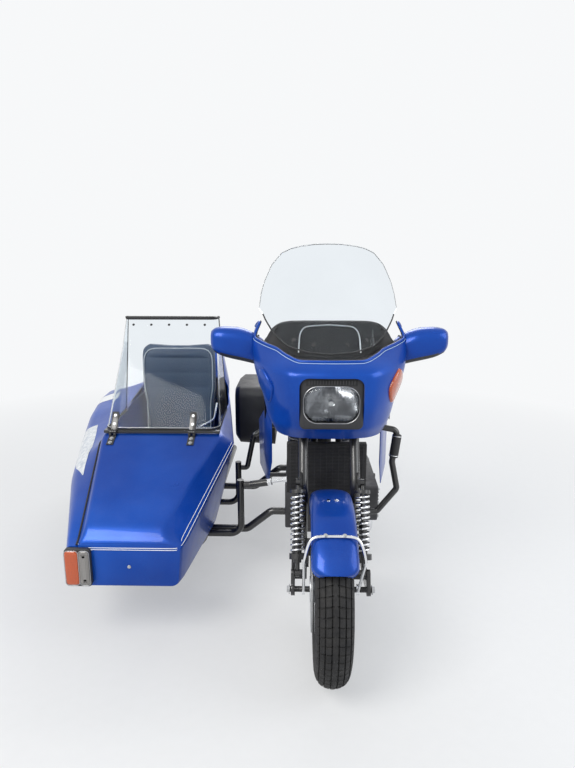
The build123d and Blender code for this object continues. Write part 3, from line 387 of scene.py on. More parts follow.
MATERIALS = {
    # White film with grey and blue painted reflections of leaves and sky
    "mottled_white": film_with_painted_reflections("mottled_white_film", WHITE_PAINT, (0.30, 0.36, 0.46, 1)),
    "blue_paint": blue_paint(),
    "black_metal": dark_enamel("black_enamel", BLACK_ENAMEL, 0.24, 0.08),
    "black_plastic": grained_plastic("black_plastic", BLACK_PLASTIC, 0.42, 1100.0, 0.1),
    "matt_black": grained_plastic("matt_black", BLACK_ENAMEL, 0.62, 700.0, 0.1),
    "seat_cover": leather("seat_vinyl", SEAT_VINYL, (0.045, 0.045, 0.05, 1), 420.0),
    "sidecar_trim": leather("blue_grey_vinyl", TRIM_BLUE, (0.065, 0.09, 0.14, 1), 420.0),
    "chrome": bright_metal("chrome_plate", CHROME, 0.04, 0.10, (300.0, 300.0, 300.0)),
    "steel": bright_metal("ground_steel", STEEL, 0.22, 0.25, (40.0, 900.0, 900.0)),
    "wheel": cast_alloy("silver_wheel_paint", SILVER_PAINT, 0.28, 0.3),
    "cast_metal": cast_alloy("cast_alloy", ALLOY, 0.38, 0.35),
    "dark_cast": cast_alloy("dark_cast_alloy", ALLOY_DARK, 0.45, 0.15),
    "tyre": tyre_rubber(),
    "clear_screen": clear_sheet("clear_acrylic", (0.90, 0.94, 0.97, 1), 0.01),
    "lamp_glass": fluted_glass("fluted_glass", (0.93, 0.95, 0.96, 1)),
    "amber_lens": lens_plastic("amber_lens", AMBER, 0.06),
    "red_lens": lens_plastic("red_lens", RED, 0.08),
    "clear_lens": lens_plastic("clear_lens", (0.36, 0.34, 0.32, 1), 0.0),
    "white_paint": plain_paint("white_paint", WHITE_PAINT, 0.35),
    # Painted highlight: a pale blue line that stands in for light along the fairing's rim bead
    "pale_line": plain_paint("pale_blue_line", (0.45, 0.62, 0.85, 1), 0.25),
    "pale_piping": plain_paint("pale_piping", (0.42, 0.46, 0.50, 1), 0.45),
    "reflector": bright_metal("lamp_reflector", (0.50, 0.51, 0.53, 1), 0.12, 0.08, (60.0, 60.0, 60.0)),
}


# Tables and curves

def tangent(knots, values, index):
    """The slope of a smooth curve at one knot, flat where the values turn round."""
    last = len(knots) - 1
    before = max(index - 1, 0)
    after = min(index + 1, last)
    first = (values[index] - values[before]) / (knots[index] - knots[before]) if index > 0 else None
    second = (values[after] - values[index]) / (knots[after] - knots[index]) if index < last else None
    if first is None or second is None:
        return first if second is None else second
    if first * second <= 0:
        return 0.0
    return 2 * first * second / (first + second)


def read_column(knots, values, key):
    """Reads a smooth curve through the knots at a key."""
    index = min(max(bisect_right(knots, key) - 1, 0), len(knots) - 2)
    run = knots[index + 1] - knots[index]
    share = (key - knots[index]) / run
    low_slope = tangent(knots, values, index) * run
    high_slope = tangent(knots, values, index + 1) * run
    square, cube = share ** 2, share ** 3
    return ((2 * cube - 3 * square + 1) * values[index] + (cube - 2 * square + share) * low_slope
            + (3 * square - 2 * cube) * values[index + 1] + (cube - square) * high_slope)


def read_table(rows, key):
    """Reads every column of a table at a key, on smooth curves."""
    columns = list(zip(*rows))
    return [key] + [read_column(columns[0], column, key) for column in columns[1:]]


def read_straight(rows, key):
    """Reads every column of a table at a key, on straight runs between its rows."""
    knots = [row[0] for row in rows]
    index = min(max(bisect_right(knots, key) - 1, 0), len(knots) - 2)
    share = (key - knots[index]) / (knots[index + 1] - knots[index])
    return [low + share * (high - low) for low, high in zip(rows[index], rows[index + 1])]


def spread(low, high, count):
    """count numbers from low to high."""
    return [low + (high - low) * index / (count - 1) for index in range(count)]


def arc_points(start, middle, end, count):
    """Points along the arc through three points of a plane."""
    (ax, ay), (bx, by), (cx, cy) = start, middle, end
    turn = 2 * (ax * (by - cy) + bx * (cy - ay) + cx * (ay - by))
    if abs(turn) < 1e-9:
        return [(ax + (cx - ax) * share, ay + (cy - ay) * share) for share in spread(0, 1, count)]
    sums = (ax * ax + ay * ay, bx * bx + by * by, cx * cx + cy * cy)
    ox = (sums[0] * (by - cy) + sums[1] * (cy - ay) + sums[2] * (ay - by)) / turn
    oy = (sums[0] * (cx - bx) + sums[1] * (ax - cx) + sums[2] * (bx - ax)) / turn
    radius = sqrt((ax - ox) ** 2 + (ay - oy) ** 2)
    first, mid, last = (atan2(y - oy, x - ox) for x, y in (start, middle, end))
    sweep_all, sweep_mid = (last - first) % (2 * pi), (mid - first) % (2 * pi)
    if sweep_mid > sweep_all:
        sweep_all -= 2 * pi
    return [(ox + radius * cos(first + sweep_all * share), oy + radius * sin(first + sweep_all * share))
            for share in spread(0, 1, count)]


def even_points(points, count):
    """The same line with count points at even distances along it."""
    lengths = [0.0]
    for before, after in zip(points, points[1:]):
        lengths.append(lengths[-1] + (Vector(after) - Vector(before)).length)
    result = []
    for goal in spread(0, lengths[-1], count):
        index = min(max(bisect_right(lengths, goal) - 1, 0), len(points) - 2)
        run = max(lengths[index + 1] - lengths[index], 1e-9)
        result.append(Vector(points[index]).lerp(Vector(points[index + 1]), (goal - lengths[index]) / run))
    return result


def soften_line(points, rounds):
    """Rounds a line's corners by moving each inner point towards its neighbours."""
    line = [Vector(point) for point in points]
    for _ in range(rounds):
        inner = [(before + 2 * here + after) / 4 for before, here, after in zip(line, line[1:], line[2:])]
        line = [line[0]] + inner + [line[-1]]
    return line


def box_ring(place, across, up, width, height, corner, steps=6):
    """A ring of points round a rectangle with round corners."""
    ring = []
    corner = min(corner, width / 2 - 0.0001, height / 2 - 0.0001)
    for quarter, (side, top) in enumerate(((1, 1), (-1, 1), (-1, -1), (1, -1))):
        centre = place + across * side * (width / 2 - corner) + up * top * (height / 2 - corner)
        for step in range(steps + 1):
            angle = pi / 2 * (quarter + step / steps)
            ring.append(centre + (across * cos(angle) + up * sin(angle)) * corner)
    return ring


# Meshes

ACROSS = Vector((1, 0, 0))
REARWARDS = Vector((0, 1, 0))
UPWARDS = Vector((0, 0, 1))


def skin(shape, rings, closed=True, joined=False, start_cap=False, end_cap=False):
    """Skins a row of rings with quads. closed joins each ring's ends, joined the last ring to the first."""
    rows = [[shape.verts.new(point) for point in ring] for ring in rings]
    count = len(rows[0])
    pairs = list(zip(rows, rows[1:]))
    if joined:
        pairs.append((rows[-1], rows[0]))
    for low, high in pairs:
        for index in range(count if closed else count - 1):
            after = (index + 1) % count
            shape.faces.new((low[index], low[after], high[after], high[index]))
    for wanted, row in ((start_cap, rows[0]), (end_cap, rows[-1])):
        if wanted:
            shape.faces.new(row)
    return rows


def shape_to_mesh(shape, sharp_angle=38.0):
    """Closes a bmesh: doubles merged, normals outwards, smooth up to an angle."""
    bmesh.ops.remove_doubles(shape, verts=shape.verts, dist=0.00002)
    bmesh.ops.recalc_face_normals(shape, faces=shape.faces)
    mesh = bpy.data.meshes.new("form")
    shape.to_mesh(mesh)
    shape.free()
    smooth_mesh(mesh, sharp_angle)
    return mesh


def smooth_mesh(mesh, sharp_angle=38.0):
    """Shades a mesh smooth, apart from its sharp edges."""
    mesh.shade_smooth()
    mesh.set_sharp_from_angle(angle=radians(sharp_angle))


def skin_mesh(rings, sharp_angle=38.0, **options):
    """A mesh from one row of rings."""
    shape = bmesh.new()
    skin(shape, rings, **options)
    return shape_to_mesh(shape, sharp_angle)


def closed_form(rings, sharp_angle=38.0):
    """A mesh from one row of rings with both its ends closed."""
    return skin_mesh(rings, sharp_angle, start_cap=True, end_cap=True)


def put_object(name, mesh):
    """Links a mesh to the scene as an object at the origin."""
    mesh.name = name
    made = bpy.data.objects.new(name, mesh)
    bpy.context.collection.objects.link(made)
    return made


def add_modifier(piece, kind, **settings):
    """Adds a modifier with its settings."""
    made = piece.modifiers.new(kind.lower(), kind)
    for key, value in settings.items():
        setattr(made, key, value)
    return made


def bake_modifiers(piece, sharp_angle=38.0):
    """Turns a piece's modifiers into its plain mesh."""
    graph = bpy.context.evaluated_depsgraph_get()
    mesh = bpy.data.meshes.new_from_object(piece.evaluated_get(graph))
    old = piece.data
    piece.modifiers.clear()
    piece.data = mesh
    if old.users == 0:
        bpy.data.meshes.remove(old)
    if sharp_angle:
        smooth_mesh(mesh, sharp_angle)
    return piece


def give_wall(piece, thickness, offset=-1.0):
    """Gives an open sheet its wall."""
    add_modifier(piece, "SOLIDIFY", thickness=thickness, offset=offset, use_even_offset=True)
    return bake_modifiers(piece)


def cut_away(piece, cutters, sharp_angle=38.0):
    """Cuts closed meshes out of a piece."""
    for index, mesh in enumerate(cutters):
        cutter = put_object("cutter", mesh)
        add_modifier(piece, "BOOLEAN", operation="DIFFERENCE", object=cutter, solver="EXACT")
        bake_modifiers(piece, sharp_angle if index == len(cutters) - 1 else 0)
        bpy.data.objects.remove(cutter)
        bpy.data.meshes.remove(mesh)
    return piece


def finish_piece(piece, finish, body="chassis", replaced=""):
    """Gives a piece its finish and its body, and hides the CAD node that it replaces."""
    piece.data.materials.clear()
    piece.data.materials.append(MATERIALS[finish])
    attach(piece, body)
    if replaced:
        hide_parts(replaced)
    return piece


def put_piece(name, mesh, finish, body="chassis", replaced=""):
    """Links a finished mesh as a piece of the vehicle."""
    return finish_piece(put_object(name, mesh), finish, body, replaced)


def copy_node(name, node):
    """A copy of a CAD node's mesh with its doubles merged, as a new object."""
    shape = bmesh.new()
    shape.from_mesh(frame["nodes"][node].data)
    bmesh.ops.remove_doubles(shape, verts=shape.verts, dist=0.00005)
    mesh = bpy.data.meshes.new(name)
    shape.to_mesh(mesh)
    shape.free()
    mesh.materials.clear()
    return put_object(name, mesh)


def bevelled_copy(node, width, finish, slot, body):
    """A CAD node's form with its flat faces joined and its edges broken."""
    piece = copy_node(node + "_form", node)
    shape = bmesh.new()
    shape.from_mesh(piece.data)
    bmesh.ops.dissolve_limit(shape, angle_limit=radians(1.0), verts=shape.verts, edges=shape.edges)
    shape.to_mesh(piece.data)
    shape.free()
    add_modifier(piece, "BEVEL", width=width, segments=2, limit_method="ANGLE",
                 angle_limit=radians(40), use_clamp_overlap=True, harden_normals=False)
    bake_modifiers(piece, 42)
    return finish_piece(piece, finish, body, node)


def join_meshes(meshes):
    """One mesh from several."""
    shape = bmesh.new()
    for mesh in meshes:
        shape.from_mesh(mesh)
        bpy.data.meshes.remove(mesh)
    joined = bpy.data.meshes.new("form")
    shape.to_mesh(joined)
    shape.free()
    smooth_mesh(joined)
    return joined


def lathe(place, axis, profile, steps=48, ring_closed=True, sharp_angle=38.0):
    """Turns a profile of (distance along the axis, radius) pairs about an axis."""
    side = axis.orthogonal().normalized()
    other = axis.cross(side)
    rings = []
    for step in range(steps):
        angle = 2 * pi * step / steps
        out = side * cos(angle) + other * sin(angle)
        rings.append([place + axis * along + out * radius for along, radius in profile])
    return skin_mesh(rings, sharp_angle, closed=ring_closed, joined=True)


def block_mesh(low, high, corner=0.0, steps=3):
    """A closed block between two corners, with its upright edges rounded by corner."""
    middle = (low + high) / 2
    size = high - low
    return closed_form([box_ring(Vector((middle.x, middle.y, z)), ACROSS, REARWARDS, size.x, size.y,
                                 max(corner, 0.0002), steps) for z in (low.z, high.z)])


# Geometry Nodes trees

def start_geometry_tree(name, inputs):
    """Starts a Geometry Nodes tree. Each input has a name, a socket type and a default."""
    tree = bpy.data.node_groups.new(name, "GeometryNodeTree")
    tree.interface.new_socket(name="Geometry", in_out="INPUT", socket_type="NodeSocketGeometry")
    for label, kind, default in inputs:
        tree.interface.new_socket(name=label, in_out="INPUT", socket_type=kind).default_value = default
    tree.interface.new_socket(name="Material", in_out="INPUT", socket_type="NodeSocketMaterial")
    tree.interface.new_socket(name="Geometry", in_out="OUTPUT", socket_type="NodeSocketGeometry")
    return tree, tree.nodes.new("NodeGroupInput").outputs, tree.nodes.new("NodeGroupOutput")


def end_geometry_tree(tree, given, end, geometry):
    """Ends a tree: instances made real, then the material."""
    real = feed(tree, tree.nodes.new("GeometryNodeRealizeInstances"), {0: geometry})
    paint = add_node(tree, "GeometryNodeSetMaterial", Geometry=real.outputs[0], Material=given["Material"])
    feed(tree, end, {"Geometry": paint.outputs[0]})
    return tree


def make_bead_tree():
    """A round bead along every line of a mesh."""
    tree, given, end = start_geometry_tree("trim_bead", [("Radius", FLOAT, 0.003), ("Sides", WHOLE, 8)])
    line = add_node(tree, "GeometryNodeMeshToCurve", Mesh=given["Geometry"])
    circle = add_node(tree, "GeometryNodeCurvePrimitiveCircle", Radius=given["Radius"],
                      Resolution=given["Sides"])
    sweep = add_node(tree, "GeometryNodeCurveToMesh", Curve=line.outputs["Curve"], Fill_Caps=True)
    feed(tree, sweep, {"Profile Curve": circle.outputs["Curve"]})
    return end_geometry_tree(tree, given, end, sweep.outputs["Mesh"])


def add_disc(tree, given, part):
    """A disc that stands on its origin, sized by the inputs of one part of the fastener."""
    height = given[part + " Height"]
    disc = add_node(tree, "GeometryNodeMeshCylinder", Vertices=given[part + " Sides"],
                    Radius=given[part + " Radius"], Depth=height)
    lift = add_node(tree, "ShaderNodeCombineXYZ", Z=add_math(tree, "MULTIPLY", height, 0.5))
    return add_node(tree, "GeometryNodeTransform", Geometry=disc.outputs["Mesh"],
                    Translation=lift.outputs["Vector"]).outputs["Geometry"]


def make_fastener_tree():
    """A screw head on a washer at every point, turned along the point's facing."""
    tree, given, end = start_geometry_tree("fasteners", [
        ("Head Radius", FLOAT, 0.006), ("Head Height", FLOAT, 0.005), ("Head Sides", WHOLE, 6),
        ("Washer Radius", FLOAT, 0.008), ("Washer Height", FLOAT, 0.0015), ("Washer Sides", WHOLE, 24)])
    both = tree.nodes.new("GeometryNodeJoinGeometry")
    for part in ("Head", "Washer"):
        feed(tree, both, {0: add_disc(tree, given, part)})
    facing = add_node(tree, "GeometryNodeInputNamedAttribute", {"data_type": "FLOAT_VECTOR"}, Name="facing")
    turn = add_node(tree, "FunctionNodeAlignRotationToVector", {"axis": "Z"},
                    Vector=facing.outputs["Attribute"])
    place = add_node(tree, "GeometryNodeInstanceOnPoints", Points=given["Geometry"],
                     Instance=both.outputs[0], Rotation=turn.outputs["Rotation"])
    return end_geometry_tree(tree, given, end, place.outputs["Instances"])


def make_bar_tree():
    """A bar at every point, for fins, slats and ribs."""
    tree, given, end = start_geometry_tree("rows_of_bars", [("Size", VECTOR, (0.1, 0.002, 0.002))])
    bar = add_node(tree, "GeometryNodeMeshCube", Size=given["Size"])
    place = add_node(tree, "GeometryNodeInstanceOnPoints", Points=given["Geometry"],
                     Instance=bar.outputs["Mesh"])
    return end_geometry_tree(tree, given, end, place.outputs["Instances"])


BAR_TREE = make_bar_tree()
BEAD_TREE = make_bead_tree()
FASTENER_TREE = make_fastener_tree()


def grow_tree(name, mesh, tree, sharp_angle, finish, **values):
    """Runs a tree on a mesh and keeps its result as a new object's plain mesh."""
    piece = put_object(name, mesh)
    grown = piece.modifiers.new(tree.name, "NODES")
    grown.node_group = tree
    values["Material"] = MATERIALS[finish]
    for socket in tree.interface.items_tree:
        key = socket.name.replace(" ", "_")
        if socket.in_out == "INPUT" and key in values:
            grown[socket.identifier] = values[key]
    return bake_modifiers(piece, sharp_angle)


def add_beads(name, lines, radius, finish, body="chassis", sides=8, closed=False):
    """Round beads along lines of points."""
    places, edges = [], []
    for line in lines:
        start, count = len(places), len(line)
        places += [tuple(point) for point in line]
        edges += [(start + index, start + index + 1) for index in range(count - 1)]
        if closed:
            edges.append((start + count - 1, start))
    mesh = bpy.data.meshes.new(name)
    mesh.from_pydata(places, edges, [])
    piece = grow_tree(name, mesh, BEAD_TREE, 50.0, finish, Radius=radius, Sides=sides)
    return finish_piece(piece, finish, body)


def add_bars(name, places, size, finish, body="chassis"):
    """A bar of one size at every place."""
    mesh = bpy.data.meshes.new(name)
    mesh.from_pydata([tuple(place) for place in places], [], [])
    return finish_piece(grow_tree(name, mesh, BAR_TREE, 30.0, finish, Size=size), finish, body)


def add_fasteners(name, spots, radius, height, sides, finish, body="chassis"):
    """Screw heads. Each spot is a point and the way that it faces."""
    mesh = bpy.data.meshes.new(name)
    mesh.from_pydata([tuple(place) for place, _ in spots], [], [])
    facing = mesh.attributes.new("facing", "FLOAT_VECTOR", "POINT")
    for index, (_, way) in enumerate(spots):
        facing.data[index].vector = way
    piece = grow_tree(name, mesh, FASTENER_TREE, 30.0, finish, Head_Radius=radius, Head_Height=height,
                      Head_Sides=sides, Washer_Radius=radius * 1.35, Washer_Height=height * 0.3)
    return finish_piece(piece, finish, body)


# Fairing

# Columns: height, front y, front half, side y, side half, rear y, rear half
FAIRING_ROWS = [
    (0.815, 0.196, 0.128, 0.300, 0.205, 0.640, 0.265),
    (0.870, 0.150, 0.138, 0.300, 0.232, 0.640, 0.275),
    (0.960, 0.120, 0.142, 0.300, 0.255, 0.620, 0.288),
    (1.060, 0.124, 0.150, 0.305, 0.285, 0.520, 0.303),
    (1.140, 0.245, 0.135, 0.360, 0.295, 0.500, 0.305),
    (1.250, 0.430, 0.120, 0.450, 0.250, 0.500, 0.272),
]
FAIRING_RIM = [(0.100, 1.128), (0.235, 1.128), (0.385, 1.164), (0.432, 1.213), (0.462, 1.214),
               (0.530, 1.150), (0.660, 1.120)]
FAIRING_BOW = 0.014
FAIRING_BULGE = 0.016
PANEL_WALL = 0.004
LAMP_HOLE_LOW = at(-0.114, 0.02, 0.865)
LAMP_HOLE_HIGH = at(0.114, 0.30, 1.055)


def bulge_middle(start, end, amount):
    """The middle point of an arc that bulges by amount to the right of its run."""
    run = Vector((end[0] - start[0], end[1] - start[1])).normalized()
    return ((start[0] + end[0]) / 2 + run.y * amount, (start[1] + end[1]) / 2 - run.x * amount)


def fairing_line(height, inset=0.0):
    """The level line round the fairing from left rear to right rear, in bike coordinates."""
    _, front_y, front_half, side_y, side_half, rear_y, rear_half = read_table(FAIRING_ROWS, height)
    front_y, side_y, side_half = front_y + inset, side_y + inset * 0.4, side_half - inset
    front_half, rear_half = front_half - inset * 0.6, rear_half - inset
    side = [(rear_half, rear_y), (side_half, side_y)]
    turn = bulge_middle((front_half, front_y), (side_half, side_y), FAIRING_BULGE)
    left = [(point.x, point.y) for point in even_points([(x, y, 0) for x, y in side], 14)]
    left += arc_points((side_half, side_y), turn, (front_half, front_y), 16)[1:]
    left += arc_points((front_half, front_y), (0, front_y - FAIRING_BOW), (-front_half, front_y), 21)[1:11]
    right = [(-x, y) for x, y in reversed(left[:-1])]
    smooth = soften_line([(x, y, 0) for x, y in left + right], 2)
    return [(point.x, point.y) for point in smooth]


RIM_DIP = 0.024
RIM_LINE = soften_line(even_points([(y, z, 0) for y, z in FAIRING_RIM], 110), 8)


def rim_height(x, y):
    """The height of the fairing's top edge over a point of its plan. It dips in the middle of the front."""
    near = min(max((0.205 - abs(x)) / 0.100, 0), 1)
    return side_rim_height(y) - RIM_DIP * near * near * (3 - 2 * near)


def side_rim_height(y):
    """The height of the fairing's top edge at y, seen from the side."""
    knots = [point.x for point in RIM_LINE]
    index = min(max(bisect_right(knots, y) - 1, 0), len(knots) - 2)
    share = min(max((y - knots[index]) / (knots[index + 1] - knots[index]), 0), 1)
    return RIM_LINE[index].y + share * (RIM_LINE[index + 1].y - RIM_LINE[index].y)


FAIRING_LEVELS = spread(0.815, 1.250, 88)


def fairing_columns(inset=0.0):
    """The fairing's surface as upright columns of points that end at its top edge."""
    lines = [fairing_line(height, inset) for height in FAIRING_LEVELS]
    columns = []
    for index in range(len(lines[0])):
        column = [Vector((line[index][0], line[index][1], height)) for line,
                  height in zip(lines, FAIRING_LEVELS)]
        kept = [column[0]]
        for before, after in zip(column, column[1:]):
            if after.z >= rim_height(after.x, after.y):
                low, high = before, after
                for _ in range(14):
                    middle = low.lerp(high, 0.5)
                    low, high = (low, middle) if middle.z >= rim_height(middle.x, middle.y) else (middle,
                                                                                                  high)
                kept.append(high)
                break
            kept.append(after)
        columns.append(even_points(kept, 46))
    return columns


def to_frame(points):
    """Points in bike coordinates moved to the frame's."""
    return [at(*point) for point in points]


def louvre_cutter(height):
    """A slanted slot through both sides of the fairing."""
    along = Vector((0, cos(LOUVRE_TILT), -sin(LOUVRE_TILT)))
    up = Vector((0, sin(LOUVRE_TILT), cos(LOUVRE_TILT)))
    return closed_form([box_ring(at(x, LOUVRE_Y, height), along, up, 0.086, 0.009, 0.0044) for x in (-0.4,
                                                                                                     0.4)])


LOUVRE_HEIGHTS = (0.829, 0.855, 0.881, 0.907)
LOUVRE_Y = 0.492
LOUVRE_TILT = radians(35)


def add_fairing():
    """The fairing with its lamp hole, its louvres with black sheets of painted shade behind them, the bead
    round its top edge with a line of painted highlight under it, and the black seal above it.
    """
    columns = fairing_columns()
    mesh = skin_mesh([to_frame(column) for column in columns], closed=False)
    piece = give_wall(put_object("fairing_panel", mesh), PANEL_WALL)
    hole_size = LAMP_HOLE_HIGH - LAMP_HOLE_LOW
    middle = (LAMP_HOLE_HIGH + LAMP_HOLE_LOW) / 2
    hole = [box_ring(Vector((middle.x, y, middle.z)), ACROSS, UPWARDS, hole_size.x, hole_size.z, 0.034)
            for y in (LAMP_HOLE_LOW.y, LAMP_HOLE_HIGH.y)]
    cutters = [closed_form(hole)]
    cutters += [louvre_cutter(height) for height in LOUVRE_HEIGHTS]
    cut_away(piece, cutters)
    finish_piece(piece, "blue_paint", replaced="fairing")
    rim = [column[-1] for column in columns]
    add_beads("fairing_rim_bead", [to_frame(rim[2:-2])], 0.0062, "blue_paint", sides=12)
    # A pale blue line just under the rim bead: a painted highlight along the bead's lower side
    highlight_points = []
    for column in columns[3:-3]:
        down = (column[-2] - column[-1]).normalized()
        out = Vector((column[-1].x, column[-1].y - 0.40, 0)).normalized()
        highlight_points.append(column[-1] + down * 0.0085 + out * 0.0024)
    add_beads("fairing_rim_line", [to_frame(highlight_points)], 0.0013, "pale_line", sides=6)
    above = [point + Vector((-point.x * 0.020, 0.004, 0.0038)) for point in rim[3:-3]]
    add_beads("fairing_rim_seal", [to_frame(above)], 0.0030, "matt_black")
    # Black sheets just inside the fairing behind the louvres: painted shade seen through the slots
    shade_panels = []
    for side in (-1, 1):
        shade_piece = [[at(side * x, y, z) for y in (0.445, 0.545)] for x, z in ((0.255, 0.816), (0.262, 0.925))]
        shade_panels.append(skin_mesh(shade_piece, closed=False))
    shade_piece = put_object("louvre_backing", join_meshes(shade_panels))
    give_wall(shade_piece, 0.002, 0.0)
    finish_piece(shade_piece, "matt_black")


# Windscreen

SCREEN_FOOT = [(0.0, 1.119), (0.08, 1.1235), (0.160, 1.139), (0.210, 1.172), (0.250, 1.220), (0.262, 1.240),
               (0.2815, 1.2615)]
SCREEN_HEAD = [(0.0, 1.520), (0.055, 1.5185), (0.110, 1.512), (0.152, 1.502), (0.190, 1.485), (0.232, 1.437),
               (0.262, 1.370), (0.276, 1.318), (0.2815, 1.2635)]
SCREEN_BEND = 0.340
SCREEN_SLOPE = tan(radians(39))


def screen_point(x, z, lift=0.0):
    """A point of the windscreen's front face, lifted off it by lift."""
    dip = SCREEN_BEND - sqrt(SCREEN_BEND ** 2 - x ** 2)
    y = 0.231 + (z - 1.128) * SCREEN_SLOPE + 1.286 * dip
    return at(x, y, z) + screen_facing(x) * lift


def screen_facing(x):
    """The way that the windscreen's front face looks at x."""
    turn = x / SCREEN_BEND
    return Vector((turn, -sqrt(1 - turn ** 2), SCREEN_SLOPE * 0.8)).normalized()


def line_value(line, key):
    """Reads a line of (key, value) pairs, straight between them."""
    return read_straight(line, key)[1]


def add_windscreen():
    """The bent clear sheet, its screws, the black strip along its foot and its polished edge."""
    rings = []
    for turn in spread(-1, 1, 61):
        x = 0.2814 * sin(turn * pi / 2)
        low, high = line_value(SCREEN_FOOT, abs(x)), line_value(SCREEN_HEAD, abs(x))
        rings.append([screen_point(x, z) for z in spread(low, max(high, low + 0.001), 33)])
    piece = put_object("windscreen_sheet", skin_mesh(rings, closed=False))
    give_wall(piece, 0.0036)
    finish_piece(piece, "clear_screen", replaced="windscreen")
    spots = [(screen_point(x, line_value(SCREEN_FOOT, abs(x)) + 0.030), screen_facing(x))
             for x in (-0.205, -0.135, -0.062, 0.062, 0.135, 0.205)]
    add_fasteners("windscreen_screws", spots, 0.0062, 0.004, 20, "black_plastic")
    foot = [screen_point(x, line_value(SCREEN_FOOT, abs(x)) + 0.002) for x in spread(-0.262, 0.262, 50)]
    add_beads("windscreen_foot_strip", [foot], 0.0032, "black_plastic")
    edge = [screen_point(x, line_value(SCREEN_HEAD, abs(x)) - 0.002, -0.002)
            for x in spread(-0.281, 0.281, 90)]
    add_beads("windscreen_polished_edge", [edge], 0.0016, "clear_lens", sides=6)


# Mirrors

# Columns: x, y, z, depth, height, corner
MIRROR_ROWS = [
    (0.258, 0.412, 1.098, 0.064, 0.104, 0.028),
    (0.300, 0.414, 1.116, 0.092, 0.124, 0.034),
    (0.345, 0.415, 1.130, 0.110, 0.128, 0.036),
    (0.405, 0.415, 1.140, 0.112, 0.118, 0.038),
    (0.446, 0.415, 1.147, 0.098, 0.094, 0.036),
    (0.462, 0.415, 1.150, 0.060, 0.066, 0.026),
]
MIRROR_SEAM_X = 0.277


def mirror_mesh(side):
    """One mirror pod, its rear left open for the glass."""
    rings = []
    for share in spread(0, 1, 26):
        key = 0.258 + (0.462 - 0.258) * sin(share * pi / 2)
        x, y, z, depth, height, corner = read_table(MIRROR_ROWS, key)
        shrink = 1.0 if share < 0.93 else 1.0 - (share - 0.93) * 2.6
        rings.append(box_ring(at(side * x, y, z), REARWARDS, UPWARDS, depth * shrink, height * shrink,
                              max(corner, 0.36 * height) * shrink, 8))
    return closed_form(rings, 60.0)


def add_mirrors():
    """Both mirror pods with their glasses, black rims and black undersides."""
    pods = put_piece("mirror_pods", join_meshes([mirror_mesh(side) for side in (-1, 1)]),
                     "blue_paint", replaced="mirrors")
    pods.data.materials.append(MATERIALS["black_plastic"])
    for face in pods.data.polygons:
        face.material_index = 1 if face.normal.z < -0.60 else 0
    glasses, frames, seams = [], [], []
    for side in (-1, 1):
        place = at(side * 0.392, 0.4655, 1.143)
        rings = [box_ring(place + REARWARDS * y, ACROSS, UPWARDS, 0.104 - trim, 0.092 - trim, 0.030)
                 for y, trim in ((0.0, 0.0), (0.0045, 0.004))]
        glasses.append(closed_form(rings))
        rings = [box_ring(place + REARWARDS * y, ACROSS, UPWARDS, 0.112 + grow, 0.099 + grow, 0.034)
                 for y, grow in ((-0.02, 0.0), (0.004, 0.0), (0.005, -0.006), (0.0005, -0.008))]
        frames.append(skin_mesh(rings, start_cap=True))
        x, y, z, depth, height, _ = read_table(MIRROR_ROWS, MIRROR_SEAM_X)
        seams.append(box_ring(at(side * x, y, z), REARWARDS, UPWARDS, depth + 0.001, height + 0.001, 0.030))
    put_piece("mirror_glasses", join_meshes(glasses), "chrome")
    put_piece("mirror_rims", join_meshes(frames), "black_plastic")
    add_beads("mirror_foot_seals", seams, 0.0028, "matt_black", closed=True)


# Headlamp

LAMP_MIDDLE = at(0, 0, 0.956)
BEZEL_MIDDLE = at(0, 0, 0.960)


def lamp_rings(middle, sizes):
    """Upright rings in front of the fairing. Each size is y, width, height and corner."""
    return [box_ring(Vector((middle.x, FRONT_Y + y, middle.z)), ACROSS, UPWARDS, width, height, corner, 8)
            for y, width, height, corner in sizes]


